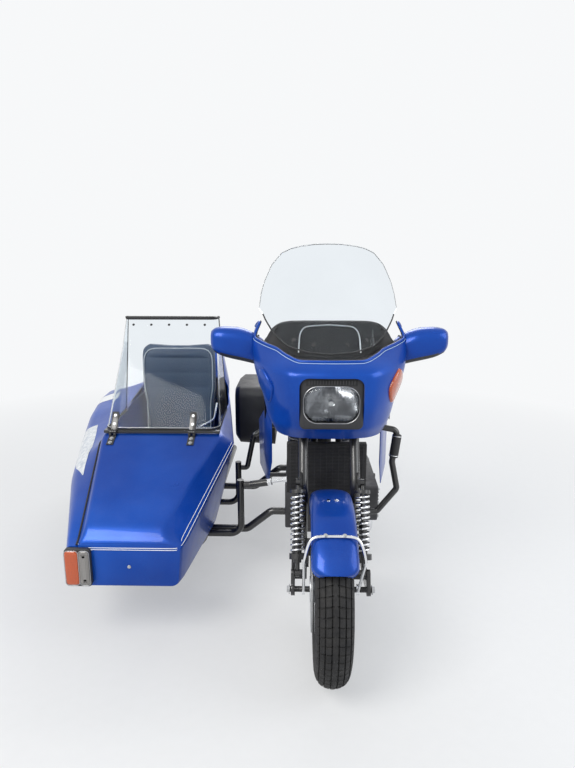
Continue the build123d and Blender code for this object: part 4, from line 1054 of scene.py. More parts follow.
def add_headlamp():
    """The black frame with its slotted bar, the bowl, the bulb under its cap and the fluted glass."""
    rings = lamp_rings(BEZEL_MIDDLE, [(0.190, 0.2270, 0.1890, 0.0200), (0.134, 0.2270, 0.1890, 0.0200),
                                      (0.130, 0.2240, 0.1860, 0.0190), (0.1283, 0.2180, 0.1800, 0.0170)])
    rings += lamp_rings(LAMP_MIDDLE, [(0.1283, 0.1990, 0.1345, 0.052), (0.1300, 0.1955, 0.1310, 0.050),
                                      (0.1880, 0.1945, 0.1300, 0.049)])
    put_piece("headlamp_frame", skin_mesh(rings, 30.0), "black_plastic", replaced="headlamp_bezel")
    bowl = lamp_rings(LAMP_MIDDLE, [(0.1420, 0.1920, 0.1270, 0.048), (0.1500, 0.1900, 0.1250, 0.049),
                                    (0.1680, 0.1740, 0.1210, 0.052), (0.1860, 0.1460, 0.1130, 0.055),
                                    (0.2040, 0.1060, 0.0960, 0.047), (0.2180, 0.0620, 0.0600, 0.0298),
                                    (0.2220, 0.0300, 0.0300, 0.0149)])
    put_piece("headlamp_bowl", skin_mesh(bowl, 60.0, end_cap=True), "reflector")
    profile = [(0.158, 0.0), (0.159, 0.009), (0.165, 0.0125), (0.176, 0.0130), (0.196, 0.0110),
               (0.220, 0.0110)]
    put_piece("headlamp_bulb", lathe(LAMP_MIDDLE, REARWARDS, profile, 24, ring_closed=False), "steel")
    glass = lamp_rings(LAMP_MIDDLE, [(0.1770, 0.1925, 0.1285, 0.048), (0.1380, 0.1925, 0.1285, 0.048),
                                     (0.1335, 0.1905, 0.1265, 0.047), (0.1290, 0.1800, 0.1160, 0.044),
                                     (0.1255, 0.1600, 0.0980, 0.032), (0.1233, 0.1200, 0.0700, 0.030),
                                     (0.1225, 0.0600, 0.0340, 0.016)])
    put_piece("headlamp_glass", skin_mesh(glass, 60.0, end_cap=True), "lamp_glass", replaced="headlamp")
    places = [at(-0.080 + 0.01 * index, 0.1268, 1.0375) for index in range(17)]
    add_bars("headlamp_bar_ribs", places, (0.0030, 0.0030, 0.0150), "dark_cast")
    rim = lamp_rings(LAMP_MIDDLE, [(0.1284, 0.1995, 0.1350, 0.052)])
    add_beads("headlamp_rim", rim, 0.0010, "steel", sides=6, closed=True)
    groove = block_mesh(at(-0.090, 0.1270, 1.0262), at(0.090, 0.1290, 1.0488), 0.001)
    put_piece("headlamp_bar", groove, "matt_black")


# Dash

DASH_HALF = 0.250
# The arch on the hood: x, and how far up the hood it lies
ARCH_SPOTS = [(-0.118, 0.10), (-0.114, 0.55), (-0.098, 0.80), (0.0, 0.86), (0.098, 0.80), (0.114, 0.55),
              (0.118, 0.10)]


def dash_profile(x, rim):
    """The dash from the rim in front over its hood to its foot behind, as (y, z) pairs at x."""
    near = min(rim, key=lambda point: abs(point.x - x) + (10 if point.z > 1.150 else 0))
    start = (near.y + 0.007, near.z - 0.007)
    peak = 1.146 + 0.074 * max(0.0, 1 - (abs(x) / 0.246) ** 8)
    deck = (max(start[0] + 0.030, 0.292 + abs(x) * 0.20), start[1] - 0.004)
    front = max(0.402, deck[0] + 0.050)
    return [start, deck, (front - 0.045, deck[1] + (peak - deck[1]) * 0.62), (front, peak),
            (front + 0.034, peak),
            (front + 0.042, peak - 0.006), (front + 0.038, peak - 0.070), (0.405, 1.062)]


def add_dash():
    """The black hood inside the rim with its raised arch, and the two dials behind it."""
    rim = [column[-1] for column in fairing_columns()]
    rings = []
    for x in spread(-DASH_HALF, DASH_HALF, 61):
        line = even_points([(y, z, 0) for y, z in dash_profile(x, rim)], 60)
        rings.append([at(x, point.x, point.y) for point in soften_line(line, 2)])
    piece = put_object("dash_hood", skin_mesh(rings, 40.0, closed=False))
    give_wall(piece, 0.003, 1.0)
    finish_piece(piece, "matt_black", replaced="dash")
    arch = []
    for x, share in ARCH_SPOTS:
        profile = dash_profile(x, rim)
        low, middle, high = (Vector(point) for point in profile[1:4])
        spot = low.lerp(middle, share * 2) if share < 0.5 else middle.lerp(high, share * 2 - 1)
        arch.append(at(x, spot.x - 0.003, spot.y + 0.003))
    add_beads("dash_arch", [soften_line(even_points(arch, 40), 3)], 0.0026, "steel")
    dials, faces, marks = [], [], []
    bezel = [(-0.006, 0.041), (0.008, 0.041), (0.0095, 0.039), (0.006, 0.036), (0.003, 0.0355)]
    for x in (-0.082, 0.082):
        middle = at(x, 0.4440, 1.150)
        dials.append(lathe(middle, REARWARDS, bezel, 48, ring_closed=False))
        faces.append(lathe(middle, REARWARDS, [(0.003, 0.0), (0.0032, 0.036)], 48, ring_closed=False))
        for step in range(11):
            angle = radians(-35 + 25 * step)
            way = ACROSS * cos(angle) + UPWARDS * sin(angle)
            marks.append([middle + REARWARDS * 0.0036 + way * reach for reach in (0.028, 0.034)])
    put_piece("dial_rings", join_meshes(dials), "chrome")
    put_piece("dial_faces", join_meshes(faces), "matt_black")
    add_beads("dial_marks", marks, 0.0007, "white_paint", sides=6)


# Front mudguard and its hoop

GUARD_OUTER = 0.349
GUARD_EDGE = 0.3155
GUARD_HALF = 0.0722
AXLE_HEIGHT = 0.315
# Angles above straight ahead, in degrees: the front end, the whole sweep, the hoop and the screws
GUARD_START = 38.05
GUARD_SWEEP = 111.9
HOOP_ANGLE = 58
SCREW_ANGLE = 86
# How far back its rounded front end reaches
GUARD_NOSE = 0.034


def around_axle(angle, radius, x):
    """A point about the front axle, at an angle in degrees above straight ahead."""
    return at(x, -radius * cos(radians(angle)), AXLE_HEIGHT + radius * sin(radians(angle)))


def add_front_mudguard():
    """The round-shouldered mudguard, its two screws and the bright hoop over it."""
    rings = []
    for step in range(91):
        share = step / 90
        angle = GUARD_START + GUARD_SWEEP * share ** 1.35
        run = radians(angle - GUARD_START) * GUARD_OUTER
        trim = GUARD_NOSE - sqrt(GUARD_NOSE ** 2 - (GUARD_NOSE - run) ** 2) if run < GUARD_NOSE else 0.0
        ring = []
        for turn in spread(-pi / 2, pi / 2, 33):
            out = (abs(sin(turn)) ** 0.72) * (1 if turn > 0 else -1)
            high = max(cos(turn), 0.0) ** 0.66
            radius = GUARD_EDGE + (GUARD_OUTER - GUARD_EDGE) * high
            ring.append(around_axle(angle, radius, out * (GUARD_HALF - trim)))
        rings.append(ring)
    piece = put_object("mudguard_shell", skin_mesh(rings, 50.0, closed=False))
    give_wall(piece, 0.0036)
    finish_piece(piece, "blue_paint", body="steering", replaced="front_mudguard")
    edges = [[ring[0] for ring in rings[1:]], [ring[-1] for ring in rings[1:]]]
    add_beads("mudguard_edges", edges, 0.0022, "blue_paint", body="steering")
    hoop_radius = GUARD_OUTER + 0.0058
    top_y = -hoop_radius * cos(radians(HOOP_ANGLE))
    top_z = AXLE_HEIGHT + hoop_radius * sin(radians(HOOP_ANGLE))
    corners = [at(-0.096, -0.013, AXLE_HEIGHT), at(-0.0965, top_y - 0.020, top_z - 0.072),
               at(-0.078, top_y, top_z)]
    corners += [Vector((2 * BIKE_X - point.x, point.y, point.z)) for point in reversed(corners)]
    hoop = soften_line(even_points(corners, 110), 14)
    add_beads("mudguard_hoop", [hoop], 0.0050, "chrome", body="steering", sides=14)
    profile = [(0, 0.0105), (0, 0.019), (0.010, 0.019), (0.010, 0.0105)]
    eyes = [lathe(at(side * 0.096 - 0.005, 0, AXLE_HEIGHT), ACROSS, profile, 32) for side in (-1, 1)]
    put_piece("hoop_eyes", join_meshes(eyes), "chrome", body="steering", replaced="mudguard_stay")
    facing = Vector((0, -cos(radians(HOOP_ANGLE)), sin(radians(HOOP_ANGLE))))
    spots = [(at(x, top_y, top_z) + facing * 0.0046, facing) for x in (-0.030, 0.030)]
    add_fasteners("hoop_bolts", spots, 0.0052, 0.004, 6, "steel", body="steering")
    facing = Vector((0, -cos(radians(SCREW_ANGLE)), sin(radians(SCREW_ANGLE))))
    spots = [(around_axle(SCREW_ANGLE, GUARD_OUTER, x), facing) for x in (-0.014, 0.014)]
    add_fasteners("mudguard_screws", spots, 0.0050, 0.0032, 16, "chrome", body="steering")


# Engine bay, crash bar and struts

def add_engine_bay():
    """The radiator's fins, the ribs on the head cover, the crash pad and the bright strut ends."""
    fins = [at(0, 0.4205, 0.508 + 0.0062 * index) for index in range(33)]
    add_bars("radiator_fins", fins, (0.312, 0.003, 0.0018), "dark_cast")
    tubes = [at(-0.150 + 0.025 * index, 0.4212, 0.6075) for index in range(13)]
    add_bars("radiator_tubes", tubes, (0.0022, 0.003, 0.200), "dark_cast")
    ribs = [at(0.2365, 0.750, 0.336 + 0.0160 * index) for index in range(9)]
    add_bars("head_cover_ribs", ribs, (0.005, 0.396, 0.0060), "dark_cast")
    facing = Vector((1, 0, 0))
    spots = [(at(0.2352, y, z), facing) for y in (0.555, 0.945) for z in (0.336, 0.400, 0.464)]
    add_fasteners("head_cover_bolts", spots, 0.0065, 0.006, 6, "steel")
    low, high = at(0.3005, 0.5010, 0.735), at(0.2855, 0.4915, 0.630)
    run = (high - low).normalized()
    profile = [(0.0, 0.0135), (0.002, 0.0180), (0.006, 0.0195), (0.094, 0.0195), (0.100, 0.0180),
               (0.102, 0.0135)]
    put_piece("crash_pad", lathe(low, run, profile, 32, ring_closed=False), "black_plastic")
    side = run.orthogonal().normalized()
    turns = [2 * pi * step / 32 for step in range(32)]
    circle = [(side * cos(turn) + run.cross(side) * sin(turn)) * 0.0192 for turn in turns]
    rings = [[low + run * reach + point for point in circle] for reach in (0.008, 0.092)]
    add_beads("crash_pad_rings", rings, 0.0018, "chrome", closed=True)
    start, end = at(-0.252, 0.543, 0.497), at(-0.160, 0.528, 0.519)
    run = (end - start).normalized()
    profile = [(0.0, 0.0080), (0.0, 0.0165), (0.018, 0.0165), (0.020, 0.0092), (0.070, 0.0092),
               (0.072, 0.0125), (0.090, 0.0125), (0.092, 0.0085)]
    sleeve = lathe(start, run, profile, 6, ring_closed=False, sharp_angle=20.0)
    put_piece("strut_adjuster", sleeve, "chrome")
    clevis = [block_mesh(at(x, 0.500, 0.512), at(x + 0.006, 0.545, 0.552), 0.002) for x in (-0.118, -0.092)]
    clevis.append(block_mesh(at(-0.124, 0.520, 0.516), at(-0.118, 0.544, 0.548), 0.002))
    put_piece("strut_clevis", join_meshes(clevis), "steel")
    nuts = [(at(side * 0.1452, 0.0, AXLE_HEIGHT), Vector((side, 0, 0))) for side in (-1, 1)]
    add_fasteners("front_axle_nuts", nuts, 0.0125, 0.010, 6, "steel", body="steering")
    plate = block_mesh(at(-0.120, 1.8700, 0.592), at(0.120, 1.8730, 0.712), 0.001)
    put_piece("blank_plate", plate, "white_paint")
    frame_line = [box_ring(at(0, 1.8740, 0.652), ACROSS, UPWARDS, 0.242, 0.122, 0.008)]
    add_beads("plate_frame", frame_line, 0.0030, "black_plastic", closed=True)
    arm = block_mesh(at(-0.030, 1.8560, 0.640), at(0.030, 1.8700, 0.7176), 0.004)
    put_piece("plate_arm", arm, "black_plastic")


# Tyres

def tyre_profile(radius, width, bead_radius):
    """Half of a tyre's section from its crown to its bead, as (distance from the middle, radius) pairs."""
    half, wall = width / 2, radius - bead_radius
    shape = [(0.0, 1.0), (0.32, 0.978), (0.60, 0.918), (0.80, 0.825), (0.93, 0.690), (1.0, 0.480),
             (0.975, 0.260), (0.86, 0.090), (0.735, 0.0)]
    line = [Vector((half * out, bead_radius + wall * high, 0)) for out, high in shape]
    return soften_line(even_points(line, 40), 3)


def add_tread(line, grooves, depth):
    """Cuts round grooves into a tyre's half section. Each has its share of the width and its half width."""
    half = max(point.x for point in line)
    result = [(point.x, point.y, 0.0) for point in line]
    for place, slim in grooves:
        for offset, drop in ((-slim, 0.0), (-slim * 0.7, depth), (slim * 0.7, depth), (slim, 0.0)):
            x = half * place + offset
            outside = [(row[0], row[1]) for row in sorted(result) if row[1] > line[-1].y + depth * 4]
            radius = read_straight(outside, x)[1]
            result.append((x, radius, drop))
    crown = sorted(row for row in result if row[1] > read_y(line, half * 0.97))
    rest = [row for row in result if row not in crown]
    inside = [(half * place - slim, half * place + slim) for place, slim in grooves]
    crown = [row for row in crown if row[2] or not any(low < row[0] < high for low, high in inside)]
    return [(x, radius - drop) for x, radius, drop in crown + rest]


def read_y(line, x):
    """The radius of a tyre's half section where its crown reaches x."""
    for before, after in zip(line, line[1:]):
        if before.x <= x <= after.x:
            return before.y + (after.y - before.y) * (x - before.x) / max(after.x - before.x, 1e-9)
    return line[-1].y


def about_axle(centre, x, radius, angle):
    """A point about a wheel's centre, out along its axle by x."""
    return centre + ACROSS * x + REARWARDS * (cos(angle) * radius) + UPWARDS * (sin(angle) * radius)


def add_tyre(name, node, centre, radius, width, body, pitches, slant):
    """A tyre with round grooves and slanted cuts across its tread."""
    half_line = add_tread(tyre_profile(radius, width, 0.1925),
                          [(0.17, 0.0022), (0.50, 0.0022), (0.78, 0.0018)], 0.005)
    profile = [(-x, high) for x, high in reversed(half_line)] + half_line[1:]
    tread_edge = 0.86 * width / 2
    rings = []
    for pitch in range(pitches):
        for share, cut in ((0.0, 0.0), (0.80, 0.0), (0.85, 1.0), (0.95, 1.0)):
            ring = []
            for x, high in profile:
                angle = 2 * pi * (pitch + share + slant * abs(x) / width) / pitches
                on_tread = abs(x) < tread_edge and abs(x) > 0.10 * width / 2 and high > radius - 0.035
                reach = high - 0.0042 * cut if on_tread else high
                ring.append(about_axle(centre, x, reach, angle))
            rings.append(ring)
    mesh = skin_mesh(rings, 32.0, closed=True, joined=True)
    put_piece(name, mesh, "tyre", body=body, replaced=node)
    lines = []
    for side in (-1, 1):
        for reach, out in ((0.218, 0.462), (0.240, 0.499), (0.262, 0.490)):
            lines.append([about_axle(centre, side * (out * width - 0.0012), reach, 2 * pi * step / 96)
                          for step in range(96)])
    add_beads(name + "_wall_lines", lines, 0.0012, "tyre", body=body, sides=6, closed=True)


# Sidecar body and pontoon

# Columns: y, outer x, inner x, moulding height, hood outer x, hood inner x, hood height, floor outer x,
# floor inner x, floor height
TUB_ROWS = [
    (0.085, -0.932, -0.545, 0.426, -0.918, -0.600, 0.436, -0.925, -0.560, 0.265),
    (0.135, -0.940, -0.530, 0.434, -0.912, -0.622, 0.487, -0.930, -0.548, 0.265),
    (0.590, -1.000, -0.400, 0.655, -0.985, -0.462, 0.700, -0.960, -0.500, 0.265),
    (0.960, -1.005, -0.455, 0.690, -0.985, -0.490, 0.725, -0.960, -0.505, 0.265),
    (1.340, -1.008, -0.515, 0.740, -0.985, -0.540, 0.800, -0.960, -0.535, 0.265),
    (1.430, -1.008, -0.525, 0.760, -0.960, -0.565, 0.960, -0.960, -0.545, 0.265),
    (1.700, -0.990, -0.555, 0.700, -0.940, -0.590, 0.900, -0.950, -0.570, 0.290),
    (1.990, -0.930, -0.620, 0.560, -0.900, -0.650, 0.640, -0.910, -0.640, 0.360),
]
TUB_WALL = 0.006
SIDECAR_AXLE_Y = 1.350
SIDECAR_AXLE_Z = 0.300
SILL_HEIGHT = 0.712
# Columns: y, outer x, outer height, skirt height
PONTOON_ROWS = [
    (0.087, -0.977, 0.424, 0.268),
    (0.135, -0.992, 0.440, 0.270),
    (0.520, -1.118, 0.530, 0.290),
    (0.830, -1.184, 0.600, 0.300),
    (1.130, -1.247, 0.640, 0.310),
    (1.340, -1.277, 0.657, 0.318),
    (1.430, -1.288, 0.660, 0.322),
    (1.600, -1.307, 0.655, 0.330),
    (1.700, -1.300, 0.625, 0.340),
    (1.880, -1.240, 0.520, 0.360),
]


def round_corner(before, corner, after, size, steps=7):
    """Points along the curve that rounds a corner."""
    before, corner, after = Vector(before), Vector(corner), Vector(after)
    ends = []
    for other in (before, after):
        run = other - corner
        ends.append(corner + run.normalized() * min(size, 0.46 * run.length))
    return [ends[0] * (1 - share) ** 2 + corner * 2 * share * (1 - share) + ends[1] * share ** 2
            for share in spread(0, 1, steps)]


def tub_ring(y):
    """One upright section of the sidecar's body with its corners rounded, in bike coordinates."""
    row = read_straight(TUB_ROWS, y)
    _, outer, inner, moulding, hood_outer, hood_inner, hood, floor_outer, floor_inner, floor = row
    corners = [((outer, moulding), 0.008), ((floor_outer, floor), 0.030), ((floor_inner, floor), 0.030),
               ((inner, moulding), 0.010), ((hood_inner, hood), 0.016), ((hood_outer, hood), 0.016)]
    ring = []
    for index, (corner, size) in enumerate(corners):
        before, after = corners[index - 1][0], corners[(index + 1) % len(corners)][0]
        ring += round_corner(before, corner, after, size)
    return [Vector((point.x, y, point.y)) for point in ring]


def smooth_rows(rings, rounds):
    """Smooths a row of rings along its run, with the first and last rings kept."""
    for _ in range(rounds):
        inner = [[(low + 2 * here + high) / 4 for low, here, high in zip(before, ring, after)]
                 for before, ring, after in zip(rings, rings[1:], rings[2:])]
        rings = [rings[0]] + inner + [rings[-1]]
    return rings


def add_sidecar_body():
    """The tub and hood with the cockpit cut into them, and the groove and lines along them."""
    stations = spread(0.085, 0.135, 6)[:-1] + spread(0.135, 1.430, 90)[:-1] + spread(1.430, 1.990, 44)
    rings = smooth_rows([tub_ring(y) for y in stations], 2)
    nose = [[point.lerp(Vector((-0.740, 0.088, 0.350)), share) for point in rings[0]] for share in (0.035,
                                                                                                    0.012)]
    nose[0] = [Vector((point.x, 0.0851, point.z)) for point in nose[0]]
    nose[1] = [Vector((point.x, 0.0862, point.z)) for point in nose[1]]
    rings = nose + [[Vector((point.x, max(point.y, 0.0905), point.z)) for point in rings[0]]] + rings[1:]
    mesh = closed_form([to_frame(ring) for ring in rings], 34.0)
    piece = give_wall(put_object("sidecar_tub", mesh), TUB_WALL)
    plan = [(-0.966, 0.650), (-0.478, 0.650), (-0.506, 0.960), (-0.556, 1.330), (-0.966, 1.330)]
    pit = [[at(x, y, z) for x, y in plan] for z in (0.640, 1.05)]
    sill = [[at(x, y, z) for x, y in ((-1.05, 0.612), (-0.38, 0.612), (-0.38, 1.336), (-1.05, 1.336))]
            for z in (SILL_HEIGHT, 1.10)]
    cut_away(piece, [closed_form(pit), closed_form(sill)], 34.0)
    finish_piece(piece, "blue_paint", replaced="sidecar_body")
    add_body_lines()


def ridge_point(y, share):
    """A point just over the body's inner slope. Share 0 is at its moulding and 1 at the hood's corner."""
    _, _, edge, moulding, _, corner, hood, _, _, _ = read_straight(TUB_ROWS, y)
    slope = Vector((hood - moulding, 0, edge - corner)).normalized()
    facing = Vector((abs(slope.x), 0, abs(slope.z)))
    return Vector((edge + (corner - edge) * share, y,
                   moulding + (hood - moulding) * share)) + facing * 0.0004


def add_body_lines():
    """The double pale line over the moulding and round the nose, and the dark seams beside the pontoon."""
    for index, share in enumerate((0.06, 0.20)):
        side = [ridge_point(y, share) for y in spread(0.112, 0.590, 60)]
        height = 0.4205 - 0.0075 * index
        front = [Vector((x, 0.0842, height)) for x in spread(-0.918, -0.566, 30)]
        turn = [Vector((-0.549, 0.0846, height + 0.002)), Vector((-0.5445, 0.092, height + 0.006))]
        path = soften_line(front + turn + side, 2)
        add_beads("nose_line_%d" % (index + 1), [to_frame(path)], 0.0013, "white_paint",
                  sides=6)
    seam = [Vector((read_straight(TUB_ROWS, y)[1] - 0.002, y, read_straight(TUB_ROWS, y)[3] + 0.0005))
            for y in spread(0.092, 1.955, 120)]
    add_beads("pontoon_seam", [to_frame(seam)], 0.0046, "matt_black")
    bright = [point + Vector((0.0065, 0, 0.0022)) for point in seam[:60]]
    add_beads("pontoon_seam_line", [to_frame(bright)], 0.0014, "white_paint", sides=6)
    second = [point + Vector((0.0125, 0, 0.0045)) for point in seam[:44]]
    add_beads("hood_seam", [to_frame(second)], 0.0034, "matt_black")
    bolt = [(at(-0.742, 0.0848, 0.345), Vector((0, -1, 0)))]
    add_fasteners("nose_bolt", bolt, 0.0050, 0.004, 6, "steel")


def pontoon_ring(y):
    """One upright section of the pontoon, from its inner foot over the top to its skirt."""
    _, outer, height, skirt = read_straight(PONTOON_ROWS, y)
    body = read_straight(TUB_ROWS, y)
    ridge = (body[1] - 0.0003, body[3])
    inner_foot = (ridge[0], skirt)
    line = [Vector((*inner_foot, 0)).lerp(Vector((*ridge, 0)), share) for share in (0.0, 0.5)]
    line = [Vector((point.x, point.y)) for point in line]
    line += round_corner(inner_foot, ridge, (outer, height), 0.006, 4)
    top_end = round_corner(ridge, (outer, height), (outer, skirt), 0.052, 12)
    line += [line[-1].lerp(top_end[0], share) for share in (0.25, 0.5, 0.75)]
    line += top_end
    foot = Vector((outer + 0.010, skirt))
    line += [top_end[-1].lerp(foot, share) for share in (0.2, 0.4, 0.6, 0.8, 0.97)] + [foot]
    return [Vector((point.x, y, point.y)) for point in line]


def pontoon_skin(y, reach, lift=0.0006):
    """A point over the pontoon's skin, reach times the width of its top away from its ridge."""
    ring = pontoon_ring(y)[5:]
    _, outer, height, _ = read_straight(PONTOON_ROWS, y)
    width = (ring[0] - Vector((outer, y, height))).length
    line = even_points(ring, 161)
    step = (line[1] - line[0]).length
    place = min(reach * width / step, 159.0)
    index = int(place)
    run = (line[index + 1] - line[index]).normalized()
    return line[index].lerp(line[index + 1], place - index) + Vector((run.z, 0, -run.x)) * lift


# Columns: y, where the film starts and ends across the pontoon's top
FILM_PATCH = [(0.46, 0.43, 0.47), (0.50, 0.42, 0.62), (0.55, 0.40, 0.84), (0.60, 0.39, 0.95),
              (0.65, 0.38, 1.02),
              (0.70, 0.42, 1.04), (0.80, 0.50, 1.04), (0.88, 0.57, 1.02), (0.925, 0.60, 0.98)]
FILM_BAND = [(1.285, 0.50, 1.05), (1.345, 0.51, 1.05), (1.400, 0.52, 1.05)]
# The larger film's grey and blue patches are painted reflections of leaves and sky
FILMS = [("pontoon_patch", FILM_PATCH, "mottled_white"), ("pontoon_band", FILM_BAND, "white_paint")]


def add_films():
    """The white films on the pontoon's top; the larger one carries painted reflections of leaves and sky."""
    for name, rows, finish in FILMS:
        rings = []
        for y in spread(rows[0][0], rows[-1][0], 34):
            _, low, high = read_straight(rows, y)
            rings.append([at(*pontoon_skin(y, reach)) for reach in spread(low, high, 15)])
        put_piece(name, skin_mesh(rings, closed=False), finish)


def wheel_arch(radius, x_low, x_high, steps=96):
    """A closed drum about the sidecar's axle."""
    return closed_form([[about_axle(at(x, SIDECAR_AXLE_Y, SIDECAR_AXLE_Z), 0, radius, 2 * pi * step / steps)
                         for step in range(steps)] for x in (x_low, x_high)])


def add_pontoon():
    """The pontoon over the sidecar's wheel with its open arch and its rolled lip."""
    stations = spread(0.087, 0.135, 6)[:-1] + spread(0.135, 1.880, 130)
    rings = smooth_rows([pontoon_ring(y) for y in stations], 3)
    mesh = skin_mesh([to_frame(ring) for ring in rings], 34.0, closed=False, start_cap=True, end_cap=True)
    piece = give_wall(put_object("pontoon_shell", mesh), PANEL_WALL)
    cut_away(piece, [wheel_arch(0.335, -1.400, -1.090)], 34.0)
    finish_piece(piece, "blue_paint", replaced="pontoon")
    lip = []
    for angle in spread(0.10, pi - 0.10, 80):
        y, z = SIDECAR_AXLE_Y + 0.3345 * cos(angle), SIDECAR_AXLE_Z + 0.3345 * sin(angle)
        _, outer, height, skirt = read_straight(PONTOON_ROWS, y)
        inwards = 0.010 * max(0.0, (height - 0.052 - z) / max(height - 0.052 - skirt, 0.01)) ** 2
        crown = max(0.0, z - (height - 0.040)) * 0.8
        lip.append(at(outer + inwards + 0.003 + crown, y, z))
    add_beads("wheel_arch_lip", [lip], 0.0042, "blue_paint", sides=10)


# Sidecar lamp

def add_sidecar_lamp():
    """The corner lamp: black base, amber outer lens, clear inner lens and the pale frame round both."""
    def lens(name, x_low, x_high, finish, replaced=""):
        sizes = ((0.0790, 0.0, 0.012), (0.0655, 0.0, 0.012), (0.0620, 0.004, 0.011), (0.0605, 0.014, 0.009),
                 (0.0602, 0.050, 0.006))
        middle, width = (x_low + x_high) / 2, x_high - x_low
        rings = [box_ring(at(middle, y, 0.348), ACROSS, UPWARDS, width - trim, 0.136 - trim, corner)
                 for y, trim, corner in sizes]
        put_piece(name, closed_form(rings, 50.0), finish, replaced=replaced)

    lens("corner_lamp_amber", -0.9735, -0.9235, "amber_lens", "sidecar_lamp")
    lens("corner_lamp_clear", -0.9210, -0.8825, "clear_lens")
    base = [box_ring(at(-0.928, y, 0.347), ACROSS, UPWARDS, 0.096 - trim, 0.150 - trim, 0.012)
            for y, trim in ((0.0847, 0.0), (0.0700, 0.0), (0.0685, 0.004))]
    put_piece("corner_lamp_base", closed_form(base), "black_plastic")
    frames = [box_ring(at(x, 0.0635, 0.348), ACROSS, UPWARDS, width, 0.138, 0.012)
              for x, width in ((-0.9485, 0.0515), (-0.90175, 0.0400))]
    add_beads("corner_lamp_frames", frames, 0.0012, "steel", sides=6, closed=True)


# Sidecar windscreen

# Columns: height, front y, front outer x, front inner x, rear y, rear outer x, rear inner x
PANE_ROWS = [
    (0.716, 0.598, -0.980, -0.466, 0.960, -0.990, -0.478),
    (1.180, 0.902, -0.946, -0.517, 0.960, -0.955, -0.507),
]
HINGE_PLACES = (-0.937, -0.587)


def pane_line(height, inset=0.0):
    """The level line round the sidecar's screen from its outer rear edge to its inner rear edge."""
    _, front_y, front_outer, front_inner, rear_y, rear_outer, rear_inner = read_straight(PANE_ROWS, height)
    size = min(0.060, 0.42 * (rear_y - front_y))
    rear_left, left = (rear_outer + inset, rear_y), (front_outer + inset, front_y + inset)
    right, rear_right = (front_inner - inset, front_y + inset), (rear_inner - inset, rear_y)
    left_turn = round_corner(rear_left, left, right, size, 12)
    right_turn = round_corner(left, right, rear_right, size, 12)
    line = [Vector(rear_left).lerp(left_turn[0], share) for share in spread(0, 0.93, 8)] + left_turn
    line += [left_turn[-1].lerp(right_turn[0], share) for share in spread(0.05, 0.95, 14)] + right_turn
    line += [right_turn[-1].lerp(Vector(rear_right), share) for share in spread(0.07, 1, 8)]
    return [Vector((point.x, point.y, height)) for point in line]


def add_sidecar_screen():
    """The clear pane with its black trims, screws, bright foot line and stay."""
    rings = [to_frame(pane_line(height)) for height in spread(0.716, 1.180, 30)]
    piece = put_object("sidecar_pane", skin_mesh(rings, closed=False))
    give_wall(piece, 0.0036)
    finish_piece(piece, "clear_screen", body="sidecar_windscreen", replaced="sidecar_screen")
    top = to_frame(pane_line(1.1795, 0.002))
    foot = to_frame(pane_line(0.7180, 0.002))
    add_beads("sidecar_screen_top_trim", [top], 0.0068, "black_plastic", body="sidecar_windscreen", sides=10)
    add_beads("sidecar_screen_foot_seal", [foot], 0.0040, "matt_black",
              body="sidecar_windscreen")
    line = to_frame([point + Vector((0, -0.0035, 0)) for point in pane_line(0.7262)[10:-10]])
    add_beads("sidecar_screen_foot_line", [line], 0.0011, "white_paint",
              body="sidecar_windscreen", sides=6)
    sides = []
    for end in (0, -1):
        edge = [pane_line(height, 0.002)[end] - REARWARDS * 0.002 for height in spread(0.722, 1.176, 30)]
        sides.append(to_frame(edge))
    add_beads("sidecar_screen_edge_trim", sides, 0.0036, "black_plastic", body="sidecar_windscreen")
    (foot_z, foot_y), (head_z, head_y) = (row[:2] for row in PANE_ROWS)
    rise = Vector((0, head_y - foot_y, head_z - foot_z)).normalized()
    facing = Vector((0, -rise.z, rise.y))
    screws = [(at(x, head_y - 0.0200, head_z - 0.0290) + facing * 0.0004, facing)
              for x in (-0.905, -0.820, -0.735, -0.650, -0.565)]
    add_fasteners("sidecar_screen_screws", screws, 0.0045, 0.003, 16, "black_plastic",
                  body="sidecar_windscreen")
    corners = [at(-0.4905, 0.700, 0.815), at(-0.497, 0.650, 0.752), at(-0.560, 0.612, 0.727)]
    stay = soften_line(even_points(corners, 24), 4)
    add_beads("sidecar_screen_stay", [stay], 0.0042, "chrome", body="sidecar_windscreen", sides=12)
    bolts = [(at(x, foot_y, foot_z) + rise * reach + facing * 0.0045, facing)
             for x in HINGE_PLACES for reach in (0.026, 0.066)]
    add_fasteners("sidecar_hinge_bolts", bolts, 0.0045, 0.004, 6, "steel", body="sidecar_windscreen")
    hood = Vector((0, 0.455, 0.213)).normalized()
    hood_facing = Vector((0, -hood.z, hood.y))
    bolts = [(at(x, 0.577, 0.6935) - hood * reach + hood_facing * 0.0045, hood_facing)
             for x in HINGE_PLACES for reach in (0.020, 0.046)]
    add_fasteners("hood_leaf_bolts", bolts, 0.0065, 0.005, 6, "steel")


# Tank, tail and lamps of the bike

# Columns: y, half width, low z, high z, corner
TANK_ROWS = [
    (0.565, 0.110, 0.880, 0.930, 0.020),
    (0.600, 0.150, 0.780, 0.958, 0.050),
    (0.650, 0.183, 0.690, 0.973, 0.062),
    (0.735, 0.190, 0.684, 0.975, 0.066),
    (0.820, 0.188, 0.680, 0.960, 0.066),
    (0.900, 0.170, 0.680, 0.905, 0.058),
    (0.960, 0.150, 0.680, 0.850, 0.036),
]


